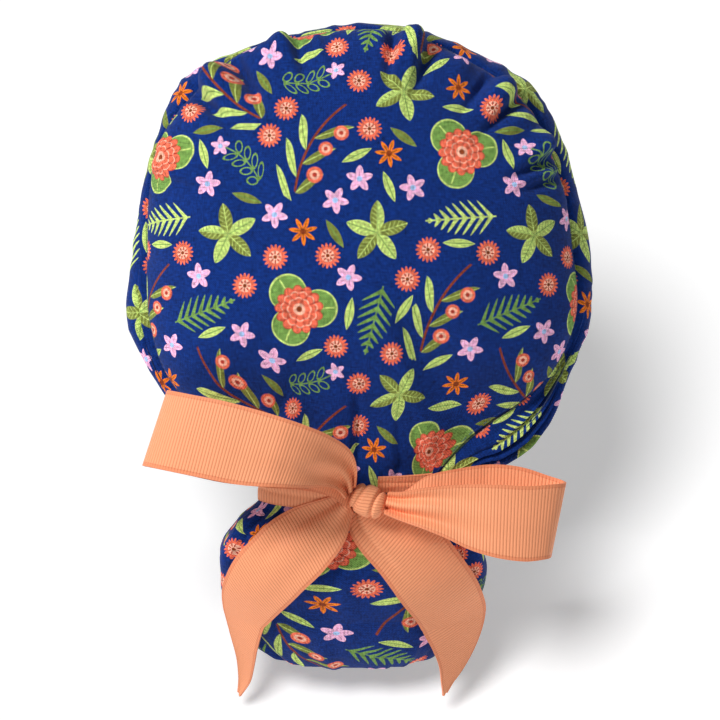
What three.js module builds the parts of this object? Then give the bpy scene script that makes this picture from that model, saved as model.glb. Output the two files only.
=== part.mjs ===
// A scrub cap with a ponytail pouch, tied behind with a ribbon bow, in the form that it has when worn.
// Millimetres, +Z up. The front of the head faces +Y, and the origin is where the head's top touches inside.
// Every piece is worked out in the crown's frame: x across, y along the crown panel towards the forehead
// and z out of the panel. The last lines tilt the cap and bring the head seat to the origin.
import * as THREE from 'three';

const { lerp, smoothstep, clamp, degToRad } = THREE.MathUtils;

// Crown panel
const crownRadius = 106;
const crownPuff = 42;
const crownTilt = 50;
const gatherRise = 6.5;
const tuckDepth = 3.2;

// Side band
const bandFrontDepth = 85;
const bandNapeDepth = 32;
const bandBulge = 10;
const bandFoldDepth = 3.4;
const headWidth = 166;
const headLength = 190;

// Neck, where the ribbon draws the cloth together
const neckWidth = 96;
const neckDepth = 32;
const neckDrop = 112;
const neckSet = 16;
const neckLean = 20;

// Pouch
const pouchWidth = 130;
const pouchDepth = 56;
const pouchLength = 110;
const pouchShift = 3.6;
const pouchHang = 0.85;
const pouchFoldDepth = 3;

// Ribbon
const ribbonWidth = 38;
const loopLengthLeft = 93;
const loopLengthRight = 82;
const loopPuff = 17;
const tailLengthLeft = 114;
const tailLengthRight = 109;
const strapHeight = 15;
const strapStandoff = 0.9;
const knotWidth = 16;
const knotHeight = 15;
const knotDepth = 13;
const loopSink = 3;
const tailTuck = 1;

// Walls and the clearance that touching pieces keep
const clothWall = 1.6;
const ribbonWall = 1.2;
const clearance = 0.3;
const seamClearance = 0.8;

// The seam round the crown, anticlockwise from the wearer's right. Angles are in degrees, seam is the
// seam's distance as a share of the crown's radius, and bulge is how far the band stands out beyond it
// as a share of the band's bulge.
const outline = [
  { angle: 0, seam: 0.965, bulge: 0.95 },
  { angle: 15, seam: 0.963, bulge: 0.75 },
  { angle: 30, seam: 0.976, bulge: 0.95 },
  { angle: 43, seam: 1.007, bulge: 0.95 },
  { angle: 60, seam: 0.99, bulge: 0.65 },
  { angle: 78, seam: 1.006, bulge: 0.4 },
  { angle: 104, seam: 1.004, bulge: 0.3 },
  { angle: 121, seam: 1.045, bulge: 0.25 },
  { angle: 136, seam: 1.035, bulge: 0.95 },
  { angle: 152, seam: 1.035, bulge: 0.25 },
  { angle: 165, seam: 0.99, bulge: 0.45 },
  { angle: 180, seam: 0.965, bulge: 0.8 },
  { angle: 196, seam: 1.0, bulge: 1.15 },
  { angle: 214, seam: 1.045, bulge: 0.75 },
  { angle: 232, seam: 1.03, bulge: 0.95 },
  { angle: 270, seam: 1.04, bulge: 0.6 },
  { angle: 306, seam: 0.985, bulge: 2.2 },
  { angle: 316, seam: 1.005, bulge: 1.9 },
  { angle: 328, seam: 1.032, bulge: 0.95 },
  { angle: 343, seam: 1.025, bulge: 0.85 },
];

// The gathers that fan in from the seam. Spread is in degrees, rise is a share of the gather rise and
// run, the distance from the seam to the fold's highest point, is a share of the crown's radius.
const gathers = [
  { angle: 168, spread: 4, rise: 0.3, run: 0.05 },
  { angle: 155, spread: 4.5, rise: 0.5, run: 0.045 },
  { angle: 142, spread: 4, rise: 0.45, run: 0.04 },
  { angle: 130, spread: 5, rise: 1.5, run: 0.04 },
  { angle: 119, spread: 3.5, rise: 0.4, run: 0.045 },
  { angle: 111, spread: 4.2, rise: 1.1, run: 0.035 },
  { angle: 97, spread: 5, rise: 0.35, run: 0.04 },
  { angle: 86, spread: 4, rise: 0.35, run: 0.045 },
  { angle: 76, spread: 4, rise: 1.4, run: 0.045 },
  { angle: 62, spread: 4, rise: 0.5, run: 0.045 },
  { angle: 48, spread: 4.5, rise: 1.1, run: 0.045 },
  { angle: 38, spread: 3.5, rise: 0.4, run: 0.045 },
  { angle: 30, spread: 4.2, rise: 0.9, run: 0.04 },
  { angle: 17, spread: 4, rise: 0.4, run: 0.05 },
  { angle: 224, spread: 5, rise: 0.5, run: 0.07 },
  { angle: 248, spread: 4.5, rise: 0.5, run: 0.09 },
  { angle: 262, spread: 4, rise: 0.35, run: 0.08 },
  { angle: 280, spread: 4, rise: 0.4, run: 0.08 },
  { angle: 294, spread: 4.5, rise: 0.5, run: 0.09 },
];

// The tucks behind, which run up the crown from the neck: side and top are shares of the crown's radius
// from its middle, and depth is a share of the tuck depth.
const tucks = [
  { side: -0.03, top: 0.6, width: 0.03, depth: 1 },
  { side: 0.16, top: 0.72, width: 0.04, depth: 0.6 },
  { side: -0.25, top: 0.78, width: 0.05, depth: 0.5 },
];

// The lengthwise folds of the band near its back ends: down is the share of the band's depth where the
// fold lies, width is its half width there, and depth is a share of the fold depth.
const bandFolds = [
  { angle: 203, spread: 12, down: 0.24, width: 0.06, depth: 0.8 },
  { angle: 226, spread: 12, down: 0.4, width: 0.08, depth: 1 },
  { angle: 318, spread: 16, down: 0.16, width: 0.05, depth: 1 },
  { angle: 314, spread: 14, down: 0.36, width: 0.06, depth: 1 },
  { angle: 310, spread: 12, down: 0.6, width: 0.08, depth: 0.9 },
];

// The pouch from the neck down: half widths and half depths as shares of the pouch's own.
const pouchSections = [
  { down: 0, half: neckWidth / pouchWidth, deep: neckDepth / pouchDepth, shift: 0 },
  { down: 0.08, half: neckWidth / pouchWidth + 0.01, deep: neckDepth / pouchDepth + 0.02, shift: 0 },
  { down: 0.18, half: 0.9, deep: 0.8, shift: 0.6 },
  { down: 0.34, half: 1, deep: 0.97, shift: 1 },
  { down: 0.52, half: 1, deep: 1, shift: 1 },
  { down: 0.68, half: 0.95, deep: 0.95, shift: 1 },
  { down: 0.82, half: 0.86, deep: 0.82, shift: 0.9 },
  { down: 0.93, half: 0.7, deep: 0.58, shift: 0.8 },
  { down: 1, half: 0.42, deep: 0.24, shift: 0.8 },
];

// The folds that run down the pouch from the neck: turn is the angle round it from its outermost line.
const pouchFolds = [
  { turn: -72, spread: 9, rise: 0.9 },
  { turn: -48, spread: 7, rise: 1 },
  { turn: -27, spread: 7, rise: 0.7 },
  { turn: -4, spread: 8, rise: 0.6 },
  { turn: 20, spread: 7, rise: 0.7 },
  { turn: 44, spread: 8, rise: 0.9 },
  { turn: 70, spread: 9, rise: 0.8 },
  { turn: 140, spread: 12, rise: 0.5 },
  { turn: 215, spread: 12, rise: 0.5 },
];

// A loop from the knot out along its front layer, round its end and back behind. Reach and rise are
// shares of the loop's length, proud is the height over the cloth below as a share of the loop's puff,
// full is the share of the ribbon's width that the gathered ribbon keeps, and lean is in degrees.
const leftLoop = [
  { reach: 0, rise: 0.045, proud: 0.2, full: 0.2, lean: 40 },
  { reach: 0.015, rise: 0.11, proud: 0.45, full: 0.36, lean: 42 },
  { reach: 0.065, rise: 0.17, proud: 0.7, full: 0.56, lean: 34 },
  { reach: 0.165, rise: 0.205, proud: 0.95, full: 0.72, lean: 26 },
  { reach: 0.31, rise: 0.24, proud: 1.1, full: 0.84, lean: 19 },
  { reach: 0.5, rise: 0.275, proud: 1.15, full: 0.96, lean: 17 },
  { reach: 0.7, rise: 0.32, proud: 1.1, full: 1, lean: 15 },
  { reach: 0.88, rise: 0.355, proud: 0.9, full: 1, lean: 16 },
  { reach: 0.985, rise: 0.375, proud: 0.65, full: 1, lean: 18 },
  { reach: 1, rise: 0.375, proud: 0.4, full: 1, lean: 18 },
  { reach: 0.95, rise: 0.365, proud: 0.2, full: 1, lean: 17 },
  { reach: 0.8, rise: 0.335, proud: 0.1, full: 1, lean: 15 },
  { reach: 0.6, rise: 0.29, proud: 0.1, full: 0.98, lean: 13 },
  { reach: 0.4, rise: 0.245, proud: 0.1, full: 0.86, lean: 12 },
  { reach: 0.22, rise: 0.19, proud: 0.1, full: 0.66, lean: 14 },
  { reach: 0.08, rise: 0.1, proud: -0.05, full: 0.4, lean: 22 },
  { reach: 0, rise: 0, proud: -0.25, full: 0.22, lean: 20 },
];
const rightLoop = [
  { reach: 0, rise: -0.01, proud: 0.2, full: 0.28, lean: 12 },
  { reach: 0.09, rise: -0.03, proud: 0.5, full: 0.37, lean: 2 },
  { reach: 0.215, rise: -0.04, proud: 0.85, full: 0.51, lean: 3 },
  { reach: 0.35, rise: -0.06, proud: 1.05, full: 0.66, lean: 2 },
  { reach: 0.49, rise: -0.09, proud: 1.15, full: 0.82, lean: 2 },
  { reach: 0.65, rise: -0.115, proud: 1.2, full: 0.92, lean: 2 },
  { reach: 0.815, rise: -0.13, proud: 1.1, full: 0.95, lean: 3 },
  { reach: 0.945, rise: -0.12, proud: 0.85, full: 0.95, lean: 6 },
  { reach: 1, rise: -0.11, proud: 0.55, full: 0.95, lean: 11 },
  { reach: 0.99, rise: -0.095, proud: 0.3, full: 0.95, lean: 11 },
  { reach: 0.92, rise: -0.07, proud: 0.15, full: 0.95, lean: 8 },
  { reach: 0.77, rise: -0.02, proud: 0.1, full: 0.95, lean: 4 },
  { reach: 0.6, rise: 0.005, proud: 0.1, full: 0.9, lean: 2 },
  { reach: 0.4, rise: 0.025, proud: 0.1, full: 0.72, lean: 2 },
  { reach: 0.23, rise: 0.045, proud: 0.05, full: 0.5, lean: 4 },
  { reach: 0.09, rise: 0.03, proud: -0.1, full: 0.34, lean: 8 },
  { reach: 0, rise: 0.02, proud: -0.25, full: 0.26, lean: 10 },
];

// A tail from the knot to its slanted end. Side and fall are shares of the tail's length, full is the
// share of the ribbon's width that shows and lean is the ribbon's turn in degrees from hanging level.
const leftTail = [
  { side: 0.057, fall: 0, full: 0.25, lean: 50 },
  { side: 0.123, fall: 0.02, full: 0.44, lean: 58 },
  { side: 0.25, fall: 0.1, full: 0.67, lean: 54 },
  { side: 0.38, fall: 0.195, full: 0.74, lean: 48 },
  { side: 0.475, fall: 0.31, full: 0.8, lean: 48 },
  { side: 0.53, fall: 0.45, full: 0.86, lean: 54 },
  { side: 0.535, fall: 0.6, full: 0.78, lean: 56 },
  { side: 0.535, fall: 0.73, full: 0.56, lean: 57 },
  { side: 0.535, fall: 0.86, full: 0.34, lean: 62 },
  { side: 0.555, fall: 1, full: 0.06, lean: 66 },
];
const rightTail = [
  { side: 0, fall: 0.06, full: 0.28, lean: 30 },
  { side: 0.075, fall: 0.1, full: 0.46, lean: 40 },
  { side: 0.165, fall: 0.155, full: 0.66, lean: 38 },
  { side: 0.255, fall: 0.245, full: 0.8, lean: 36 },
  { side: 0.335, fall: 0.37, full: 0.85, lean: 32 },
  { side: 0.38, fall: 0.52, full: 0.88, lean: 28 },
  { side: 0.41, fall: 0.65, full: 0.76, lean: 28 },
  { side: 0.405, fall: 0.78, full: 0.56, lean: 26 },
  { side: 0.38, fall: 0.9, full: 0.34, lean: 30 },
  { side: 0.345, fall: 1, full: 0.06, lean: 40 },
];

// How finely the faceted cloth follows its shape
const crownRings = 13;
const crownSpokes = 76;
const bandRows = 10;
const bandColumns = 66;
const pouchRows = 14;
const pouchColumns = 40;
const ribbonColumns = 4;
const loopSteps = 24;
const tailSteps = 14;
const strapSteps = 8;
const knotRings = 8;
const knotSides = 12;

// A row's column between two rows of a table, by a cubic through the four rows round it
function blend(before, from, to, after, key, share) {
  const slopeFrom = (to[key] - before[key]) / 2;
  const slopeTo = (after[key] - from[key]) / 2;
  const square = share * share;
  const cube = square * share;
  return (2 * cube - 3 * square + 1) * from[key] + (cube - 2 * square + share) * slopeFrom
    + (3 * square - 2 * cube) * to[key] + (cube - square) * slopeTo;
}

// A column of a table that goes once round, at an angle in degrees
function roundTable(rows, angle, key) {
  const turn = ((angle % 360) + 360) % 360;
  const count = rows.length;
  let index = rows.findLastIndex((row) => row.angle <= turn);
  if (index < 0) index = count - 1;
  const row = (step) => rows[(index + step + count) % count];
  const width = (row(1).angle - row(0).angle + 360) % 360;
  const share = ((turn - row(0).angle + 360) % 360) / width;
  return blend(row(-1), row(0), row(1), row(2), key, share);
}

// A column of a table at a place from 0 at its first row to 1 at its last
function openTable(rows, place, key) {
  const position = clamp(place, 0, 1) * (rows.length - 1);
  const index = Math.min(Math.floor(position), rows.length - 2);
  const row = (step) => rows[clamp(index + step, 0, rows.length - 1)];
  return blend(row(-1), row(0), row(1), row(2), key, position - index);
}

// The place of a share down the pouch in its table, whose rows are not evenly spaced
function pouchPlace(down) {
  const last = pouchSections.length - 1;
  const index = Math.min(Math.max(pouchSections.findLastIndex((row) => row.down <= down), 0), last - 1);
  const step = pouchSections[index + 1].down - pouchSections[index].down;
  return (index + (down - pouchSections[index].down) / step) / last;
}

function bell(offset, width) {
  return Math.exp(-((offset / width) ** 2));
}

function angleBetween(angle, other) {
  return ((((angle - other) % 360) + 540) % 360) - 180;
}

// The neck ring: its middle, its axis towards the pouch and its outward direction
const neckCentre = new THREE.Vector3(0, -neckDrop, -neckSet);
const across = new THREE.Vector3(1, 0, 0);
const neckAxis = new THREE.Vector3(0, -Math.cos(degToRad(neckLean)), -Math.sin(degToRad(neckLean)));
const plumb = new THREE.Vector3(0, -Math.cos(degToRad(90 - crownTilt)), -Math.sin(degToRad(90 - crownTilt)));

// A point on the neck ring: turn in degrees from its outermost line, along its axis, and out from it
function neckPoint(turn, along, out = 0) {
  const outward = new THREE.Vector3().crossVectors(neckAxis, across);
  return neckCentre.clone()
    .addScaledVector(across, (neckWidth / 2 + out) * Math.sin(degToRad(turn)))
    .addScaledVector(outward, (neckDepth / 2 + out) * Math.cos(degToRad(turn)))
    .addScaledVector(neckAxis, along);
}

// The middle of the nape, where the crown ends and the band begins on the neck ring, and how far round the
// crown's outline the neck takes up on either side of the nape, all in degrees
const napeAngle = 270;
const neckSeamLeft = -90;
const neckSeamRight = 44;
const napeLeft = 30;
const napeRight = 20;
const napeReach = 1.6;

// A place along the crown's edge near the nape: 0 at its middle and 1 where the neck ring ends
function napePlace(angle) {
  const away = angleBetween(angle, napeAngle);
  return away < 0 ? away / napeLeft : away / napeRight;
}

function napeShare(angle) {
  return 1 - smoothstep(Math.abs(napePlace(angle)), 1, napeReach);
}

// The crown's edge follows the neck ring round the nape, and elsewhere the seam of the outline table
function crownEdge(angle) {
  const reach = crownRadius * roundTable(outline, angle, 'seam');
  const seam = new THREE.Vector3(reach * Math.cos(degToRad(angle)), reach * Math.sin(degToRad(angle)), 0);
  const place = clamp(napePlace(angle), -1, 1);
  const turn = place < 0 ? -place * neckSeamLeft : place * neckSeamRight;
  return seam.lerp(neckPoint(turn, -seamClearance), napeShare(angle));
}

// The crown dome: a share of the way from its middle to its edge, falling steeply at the seam and
// gently at the nape
const domePower = 2.4;
const domeSteep = 0.62;
const domeGentle = 2.1;
const gentleWithin = 10;
const steepBeyond = 60;

function domePoint(share, angle) {
  const edge = crownEdge(angle);
  const nape = napeShare(angle);
  const gentle = 1 - smoothstep(Math.abs(angleBetween(angle, napeAngle)), gentleWithin, steepBeyond);
  const fall = (1 - share ** domePower) ** lerp(domeSteep, domeGentle, gentle);
  const run = (1 - share) * share ** 2 * neckDrop * Math.tan(degToRad(neckLean)) * nape;
  const round = new THREE.Vector3(Math.cos(degToRad(angle)), Math.sin(degToRad(angle)), 0);
  const flat = round.multiplyScalar(crownRadius).lerp(edge, share ** 3).multiplyScalar(share);
  flat.z = crownPuff * fall + run + edge.z * share ** 3;
  return flat;
}

// How far gathers and tucks lift the crown's cloth off the dome. A tuck deepens over its fade and ends at
// the nape, and the strap binds the gathers within its own height, easing over a few heights more.
const tuckFade = 0.12;
const tuckEnd = 0.95;
const strapEase = 2.2;
const seamEase = 0.985;

function crownLift(share, angle) {
  const inward = 1 - share;
  const gathered = gathers.reduce((sum, fold) => {
    const rise = (inward / fold.run) * Math.exp(1 - inward / fold.run);
    return sum + gatherRise * fold.rise * rise * bell(angleBetween(angle, fold.angle), fold.spread);
  }, 0);
  const side = share * Math.cos(degToRad(angle));
  const drop = -share * Math.sin(degToRad(angle));
  const tucked = tucks.reduce((sum, tuck) => {
    const length = smoothstep(drop, tuck.top, tuck.top + tuckFade)
      * (1 - smoothstep(drop, tuckEnd, tuckEnd + tuckFade / 2));
    return sum + tuckDepth * tuck.depth * length * bell(side - tuck.side, tuck.width);
  }, 0);
  const strapShare = strapHeight / 2 / crownRadius;
  const bound = napeShare(angle) * (1 - smoothstep(inward, strapShare, strapShare * strapEase));
  return gathered * (1 - smoothstep(share, seamEase, 1)) * (1 - bound) - tucked;
}

// The pouch: its middle line bends from the neck's axis to plumb by this share of its length, and its folds
// swell out and in round their mean
const pouchBend = 0.6;
const foldMean = 0.4;
const lookAhead = 0.01;

function pouchMiddle(down) {
  const bend = pouchHang * smoothstep(down, 0, pouchBend);
  const direction = neckAxis.clone().lerp(plumb, bend).normalize();
  return neckCentre.clone().addScaledVector(direction, down * pouchLength);
}

function pouchPoint(down, turn, out = 0) {
  const ahead = pouchMiddle(down + lookAhead).sub(pouchMiddle(down)).normalize();
  const outward = new THREE.Vector3().crossVectors(ahead, across);
  const place = pouchPlace(down);
  const halfWidth = pouchWidth / 2 * openTable(pouchSections, place, 'half');
  const halfDepth = pouchDepth / 2 * openTable(pouchSections, place, 'deep');
  const folded = pouchFolds.reduce((sum, fold) => (
    sum + fold.rise * bell(angleBetween(turn, fold.turn), fold.spread)), 0);
  const fade = smoothstep(down, 0.08, 0.2) * (1 - smoothstep(down, 0.35, 0.8));
  const swell = out + pouchFoldDepth * (folded - foldMean) * fade;
  return pouchMiddle(down)
    .addScaledVector(across, (halfWidth + swell) * Math.sin(degToRad(turn))
      - pouchShift * openTable(pouchSections, place, 'shift'))
    .addScaledVector(outward, (halfDepth + swell) * Math.cos(degToRad(turn)));
}

// The side band, from one back end round the front to the other. Its ends are drawn into the neck ring
// beside the crown, and take up this much of the ring.
const bandFrom = napeAngle + napeRight - 360;
const bandTo = napeAngle - napeLeft;
const endBlend = 15;
const endSpan = 58;
const endGap = 1.9;
const endInset = 1.5;
const hemEase = 0.55;

function bandDown(angle) {
  return lerp(bandNapeDepth, bandFrontDepth, (1 + Math.sin(degToRad(angle))) / 2);
}

// The band ring's place at a share of its depth, with its lengthwise folds
function bandRing(share, angle) {
  const edge = crownEdge(angle);
  const radial = new THREE.Vector3(Math.cos(degToRad(angle)), Math.sin(degToRad(angle)), 0);
  const hemCentre = (headLength - neckDrop * 2) / 4;
  const hem = new THREE.Vector3(headWidth / 2 * radial.x, hemCentre + headLength / 2 * radial.y, 0);
  const folds = bandFolds.reduce((sum, fold) => (
    sum + fold.depth * bell(angleBetween(angle, fold.angle), fold.spread)
      * bell(share - fold.down, fold.width)), 0);
  const bulge = bandBulge * roundTable(outline, angle, 'bulge') * Math.sin(Math.PI * share ** hemEase);
  const out = lerp(Math.hypot(edge.x, edge.y), hem.length(), share ** 2) + bulge - bandFoldDepth * folds;
  return radial.multiplyScalar(out).setZ(edge.z - share * bandDown(angle));
}

// The band starts along the crown's edge, and near its ends what it adds to that turns into the neck ring
function bandPoint(share, angle) {
  const start = angle > 90 ? neckSeamLeft : neckSeamRight;
  const pace = neckPoint(start, 0).distanceTo(neckPoint(start + 1, 0));
  const turn = start + Math.sign(start) * (endGap / pace + share * endSpan);
  const drawn = neckPoint(turn, -seamClearance * endInset).sub(neckPoint(start, -seamClearance));
  const open = bandRing(share, angle).sub(bandRing(0, angle));
  const fromEnd = Math.min(angle - bandFrom, bandTo - angle);
  const opened = smoothstep(fromEnd, 0, endBlend);
  const away = bandRing(0, angle).setZ(0).normalize().multiplyScalar(clearance);
  return crownEdge(angle).add(away).sub(new THREE.Vector3(0, 0, clearance)).add(drawn.lerp(open, opened));
}

// The cloth's height below a place, for what lies on it and bridges its steep edge
const bridge = 0.93;

function clothHeight(x, y) {
  const angle = THREE.MathUtils.radToDeg(Math.atan2(y, x));
  const edge = crownEdge(angle);
  const share = bridge * Math.hypot(x, y) / Math.hypot(edge.x, edge.y);
  const neckTop = neckPoint(0, 0).z;
  return share < 1 ? Math.max(domePoint(share, angle).z, neckTop) : neckTop;
}

// A closed wall of even thickness behind a grid of outer points. The columns may join round, and the
// first or last row may be one point.
function wallGeometry(grid, wall, { wrap = false, centred = false } = {}) {
  const rows = grid.length;
  const columns = grid[0].length;
  const same = (row) => grid[row].every((point) => point.distanceTo(grid[row][0]) < 1e-6);
  const pole = grid.map((_, row) => (row === 0 || row === rows - 1) && same(row));
  const index = (row, column) => row * columns + (pole[row] ? 0 : column % columns);
  const outer = grid.flat();
  const faces = [];
  const quad = (a, b, c, d) => {
    if (a !== b && b !== c && a !== c) faces.push([a, b, c]);
    if (a !== c && c !== d && a !== d) faces.push([a, c, d]);
  };
  for (let row = 0; row < rows - 1; row += 1) {
    for (let column = 0; column < (wrap ? columns : columns - 1); column += 1) {
      quad(index(row, column), index(row + 1, column), index(row + 1, column + 1), index(row, column + 1));
    }
  }
  const normals = outer.map(() => new THREE.Vector3());
  for (const [a, b, c] of faces) {
    const first = outer[b].clone().sub(outer[a]);
    const face = first.cross(outer[c].clone().sub(outer[a]));
    normals[a].add(face);
    normals[b].add(face);
    normals[c].add(face);
  }
  const back = outer.length;
  const outside = outer.map((point, i) => point.clone()
    .addScaledVector(normals[i].normalize(), centred ? wall / 2 : 0));
  const inside = outside.map((point, i) => point.clone().addScaledVector(normals[i], -wall));
  const walls = faces.map(([a, b, c]) => [back + a, back + c, back + b]);
  const rim = (from, to) => walls.push([to, from, back + from], [to, back + from, back + to]);
  for (let column = 0; column < (wrap ? columns : columns - 1); column += 1) {
    if (!pole[0]) rim(index(0, column + 1), index(0, column));
    if (!pole[rows - 1]) rim(index(rows - 1, column), index(rows - 1, column + 1));
  }
  if (!wrap) {
    for (let row = 0; row < rows - 1; row += 1) {
      rim(index(row, 0), index(row + 1, 0));
      rim(index(row + 1, columns - 1), index(row, columns - 1));
    }
  }
  return solidGeometry([...outside, ...inside], [...faces, ...walls]);
}

function solidGeometry(points, faces) {
  const geometry = new THREE.BufferGeometry();
  geometry.setAttribute('position', new THREE.Float32BufferAttribute(points.flatMap((p) => p.toArray()), 3));
  geometry.setIndex(faces.flat());
  geometry.computeVertexNormals();
  return geometry;
}

function gridOf(rows, columns, place) {
  return Array.from({ length: rows + 1 }, (_, row) => (
    Array.from({ length: columns + 1 }, (_, column) => place(row / rows, column / columns))));
}

// A grid whose last column is its first, left out because the columns join round
function roundGrid(rows, columns, place) {
  return gridOf(rows, columns, place).map((row) => row.slice(0, -1));
}

// The angle of a spoke, closer together in front where the gathers are
const frontCrowding = 0.25;

function spokeAngle(place) {
  const turn = (place - 0.5) * 360;
  return 90 + turn - frontCrowding * THREE.MathUtils.radToDeg(Math.sin(degToRad(turn)));
}

function crownGeometry() {
  const base = (share, angle) => {
    const step = 0.004;
    const point = domePoint(share, angle);
    const inner = domePoint(Math.max(share - step, 0), angle);
    const beside = domePoint(share, angle + 0.5);
    const normal = beside.sub(point).cross(inner.sub(point)).normalize();
    return share < 0.02 ? point : point.addScaledVector(normal, crownLift(share, angle));
  };
  const grid = roundGrid(crownRings, crownSpokes, (row, column) => (
    base(Math.sin(row * Math.PI / 2), spokeAngle(column))));
  return wallGeometry(grid, clothWall, { wrap: true });
}

function bandGeometry() {
  const grid = gridOf(bandRows, bandColumns, (row, column) => (
    bandPoint(row ** 1.3, lerp(bandFrom, bandTo, column))));
  return wallGeometry(grid, clothWall);
}

function pouchGeometry() {
  const grid = roundGrid(pouchRows, pouchColumns, (row, column) => pouchPoint(row, -180 + column * 360));
  const tip = pouchMiddle(1.02).addScaledVector(across, -pouchShift);
  grid.push(grid[0].map(() => tip.clone()));
  return wallGeometry(grid, clothWall, { wrap: true });
}

// The ribbon over the neck, from its sewn end on the band to the knot
const sewnShort = 9;

function strapGeometry(side) {
  const lift = strapStandoff + ribbonWall / 2;
  const sewn = (side < 0 ? -neckSeamLeft : neckSeamRight) - sewnShort;
  const grid = gridOf(strapSteps, ribbonColumns, (row, column) => {
    const turn = lerp(sewn, THREE.MathUtils.radToDeg(Math.asin(knotWidth / neckWidth)), row);
    return neckPoint(side * turn, (column - 0.5) * strapHeight * side, lift);
  });
  return wallGeometry(grid, ribbonWall, { centred: true });
}

const knotCentre = neckPoint(4, 0, strapStandoff + ribbonWall + clearance + knotDepth / 2);

// The knot: a rounded wrap with two creases
function knotGeometry() {
  const grid = roundGrid(knotRings, knotSides, (row, column) => {
    const tilt = row * Math.PI;
    const turn = column * Math.PI * 2;
    const fat = 1 - 0.1 * Math.cos(turn * 3) ** 2;
    const rounded = Math.sin(tilt) ** 0.7;
    return knotCentre.clone().add(new THREE.Vector3(
      knotWidth / 2 * Math.cos(tilt),
      knotHeight / 2 * rounded * fat * Math.cos(turn),
      knotDepth / 2 * rounded * fat * Math.sin(turn),
    ));
  });
  return closedGeometry(grid);
}

// A closed body from a grid whose first and last rows are single points and whose columns join round
function closedGeometry(grid) {
  const middle = grid.slice(1, -1);
  const sides = middle[0].length;
  const points = [grid[0][0], ...middle.flat(), grid.at(-1)[0]];
  const last = points.length - 1;
  const at = (row, side) => 1 + row * sides + (side % sides);
  const faces = [];
  for (let side = 0; side < sides; side += 1) {
    faces.push([0, at(0, side), at(0, side + 1)]);
    faces.push([last, at(middle.length - 1, side + 1), at(middle.length - 1, side)]);
    for (let row = 0; row < middle.length - 1; row += 1) {
      faces.push([at(row, side), at(row + 1, side), at(row + 1, side + 1)]);
      faces.push([at(row, side), at(row + 1, side + 1), at(row, side + 1)]);
    }
  }
  return solidGeometry(points, faces);
}

// The height that a loop lies over at one place along it: the highest cloth across the ribbon's width
function loopGround(start, rows, side, length, place) {
  const nearby = [-0.04, 0, 0.04].map((step) => {
    const value = (key) => openTable(rows, place + step, key);
    const x = start.x + side * value('reach') * length;
    const y = start.y + value('rise') * length;
    const high = Math.max(...[-0.5, 0, 0.5].map((edge) => clothHeight(x, y + edge * ribbonWidth * value('full'))));
    return lerp(start.z, Math.max(high + gatherRise * 0.7, start.z - loopSink), smoothstep(value('reach'), 0, 0.3));
  });
  return (nearby[0] + nearby[1] + nearby[2]) / 3;
}

// A loop of the bow, which keeps its layers clear of the crown and the pouch below
function loopGeometry(rows, side, length) {
  const start = knotCentre.clone().addScaledVector(across, side * (knotWidth / 2 + clearance * 2));
  const grid = gridOf(loopSteps, ribbonColumns, (row, column) => {
    const value = (key) => openTable(rows, row, key);
    const reach = value('reach');
    const half = ribbonWidth / 2 * value('full') * (column * 2 - 1);
    const lean = degToRad(value('lean'));
    const x = start.x + side * reach * length + half * Math.sin(lean);
    const y = start.y + value('rise') * length + half * Math.cos(lean);
    const ground = loopGround(start, rows, side, length, row);
    return new THREE.Vector3(x, y, ground + value('proud') * loopPuff);
  });
  return wallGeometry(side < 0 ? grid : grid.map((row) => row.toReversed()), ribbonWall, { centred: true });
}

// A place on what a tail hangs over: the neck and the pouch down to its fullest part, then plumb
const fullest = 0.72;

function tailPoint(x, fall, out) {
  const down = clamp(fall / pouchLength, 0, fullest);
  const ahead = pouchMiddle(down + lookAhead).sub(pouchMiddle(down)).normalize();
  const outward = new THREE.Vector3().crossVectors(ahead, across);
  const place = pouchPlace(down);
  const halfWidth = pouchWidth / 2 * openTable(pouchSections, place, 'half');
  const halfDepth = pouchDepth / 2 * openTable(pouchSections, place, 'deep');
  const middle = -pouchShift * openTable(pouchSections, place, 'shift');
  const curve = Math.sqrt(Math.max(1 - ((x - middle) / halfWidth) ** 2, 0.2));
  return pouchMiddle(down)
    .addScaledVector(plumb, Math.max(fall - down * pouchLength, 0))
    .addScaledVector(across, x)
    .addScaledVector(outward, halfDepth * curve + out);
}

const tailEase = 0.3;
const tailLayer = 1.5;

function tailGeometry(rows, side, length) {
  const start = knotHeight / 2 - tailTuck;
  const grid = gridOf(tailSteps, ribbonColumns, (row, column) => {
    const value = (key) => openTable(rows, row, key);
    const lean = degToRad(value('lean'));
    const half = ribbonWidth / 2 * value('full') * (column * 2 - 1);
    const x = knotCentre.x + side * value('side') * length + half * Math.cos(lean);
    const fall = start + value('fall') * length - half * Math.sin(lean) * side;
    return tailPoint(x, fall, strapStandoff + ribbonWall * tailLayer + clearance + pouchFoldDepth * row * tailEase);
  });
  return wallGeometry(grid, ribbonWall, { centred: true });
}

const printedCotton = () => new THREE.MeshStandardMaterial({ color: 0x233c82, roughness: 0.85, metalness: 0 });
const grosgrain = () => new THREE.MeshStandardMaterial({ color: 0xf09669, roughness: 0.6, metalness: 0 });

function piece(name, geometry, material) {
  const mesh = new THREE.Mesh(geometry, material);
  mesh.name = name;
  return mesh;
}

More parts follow.
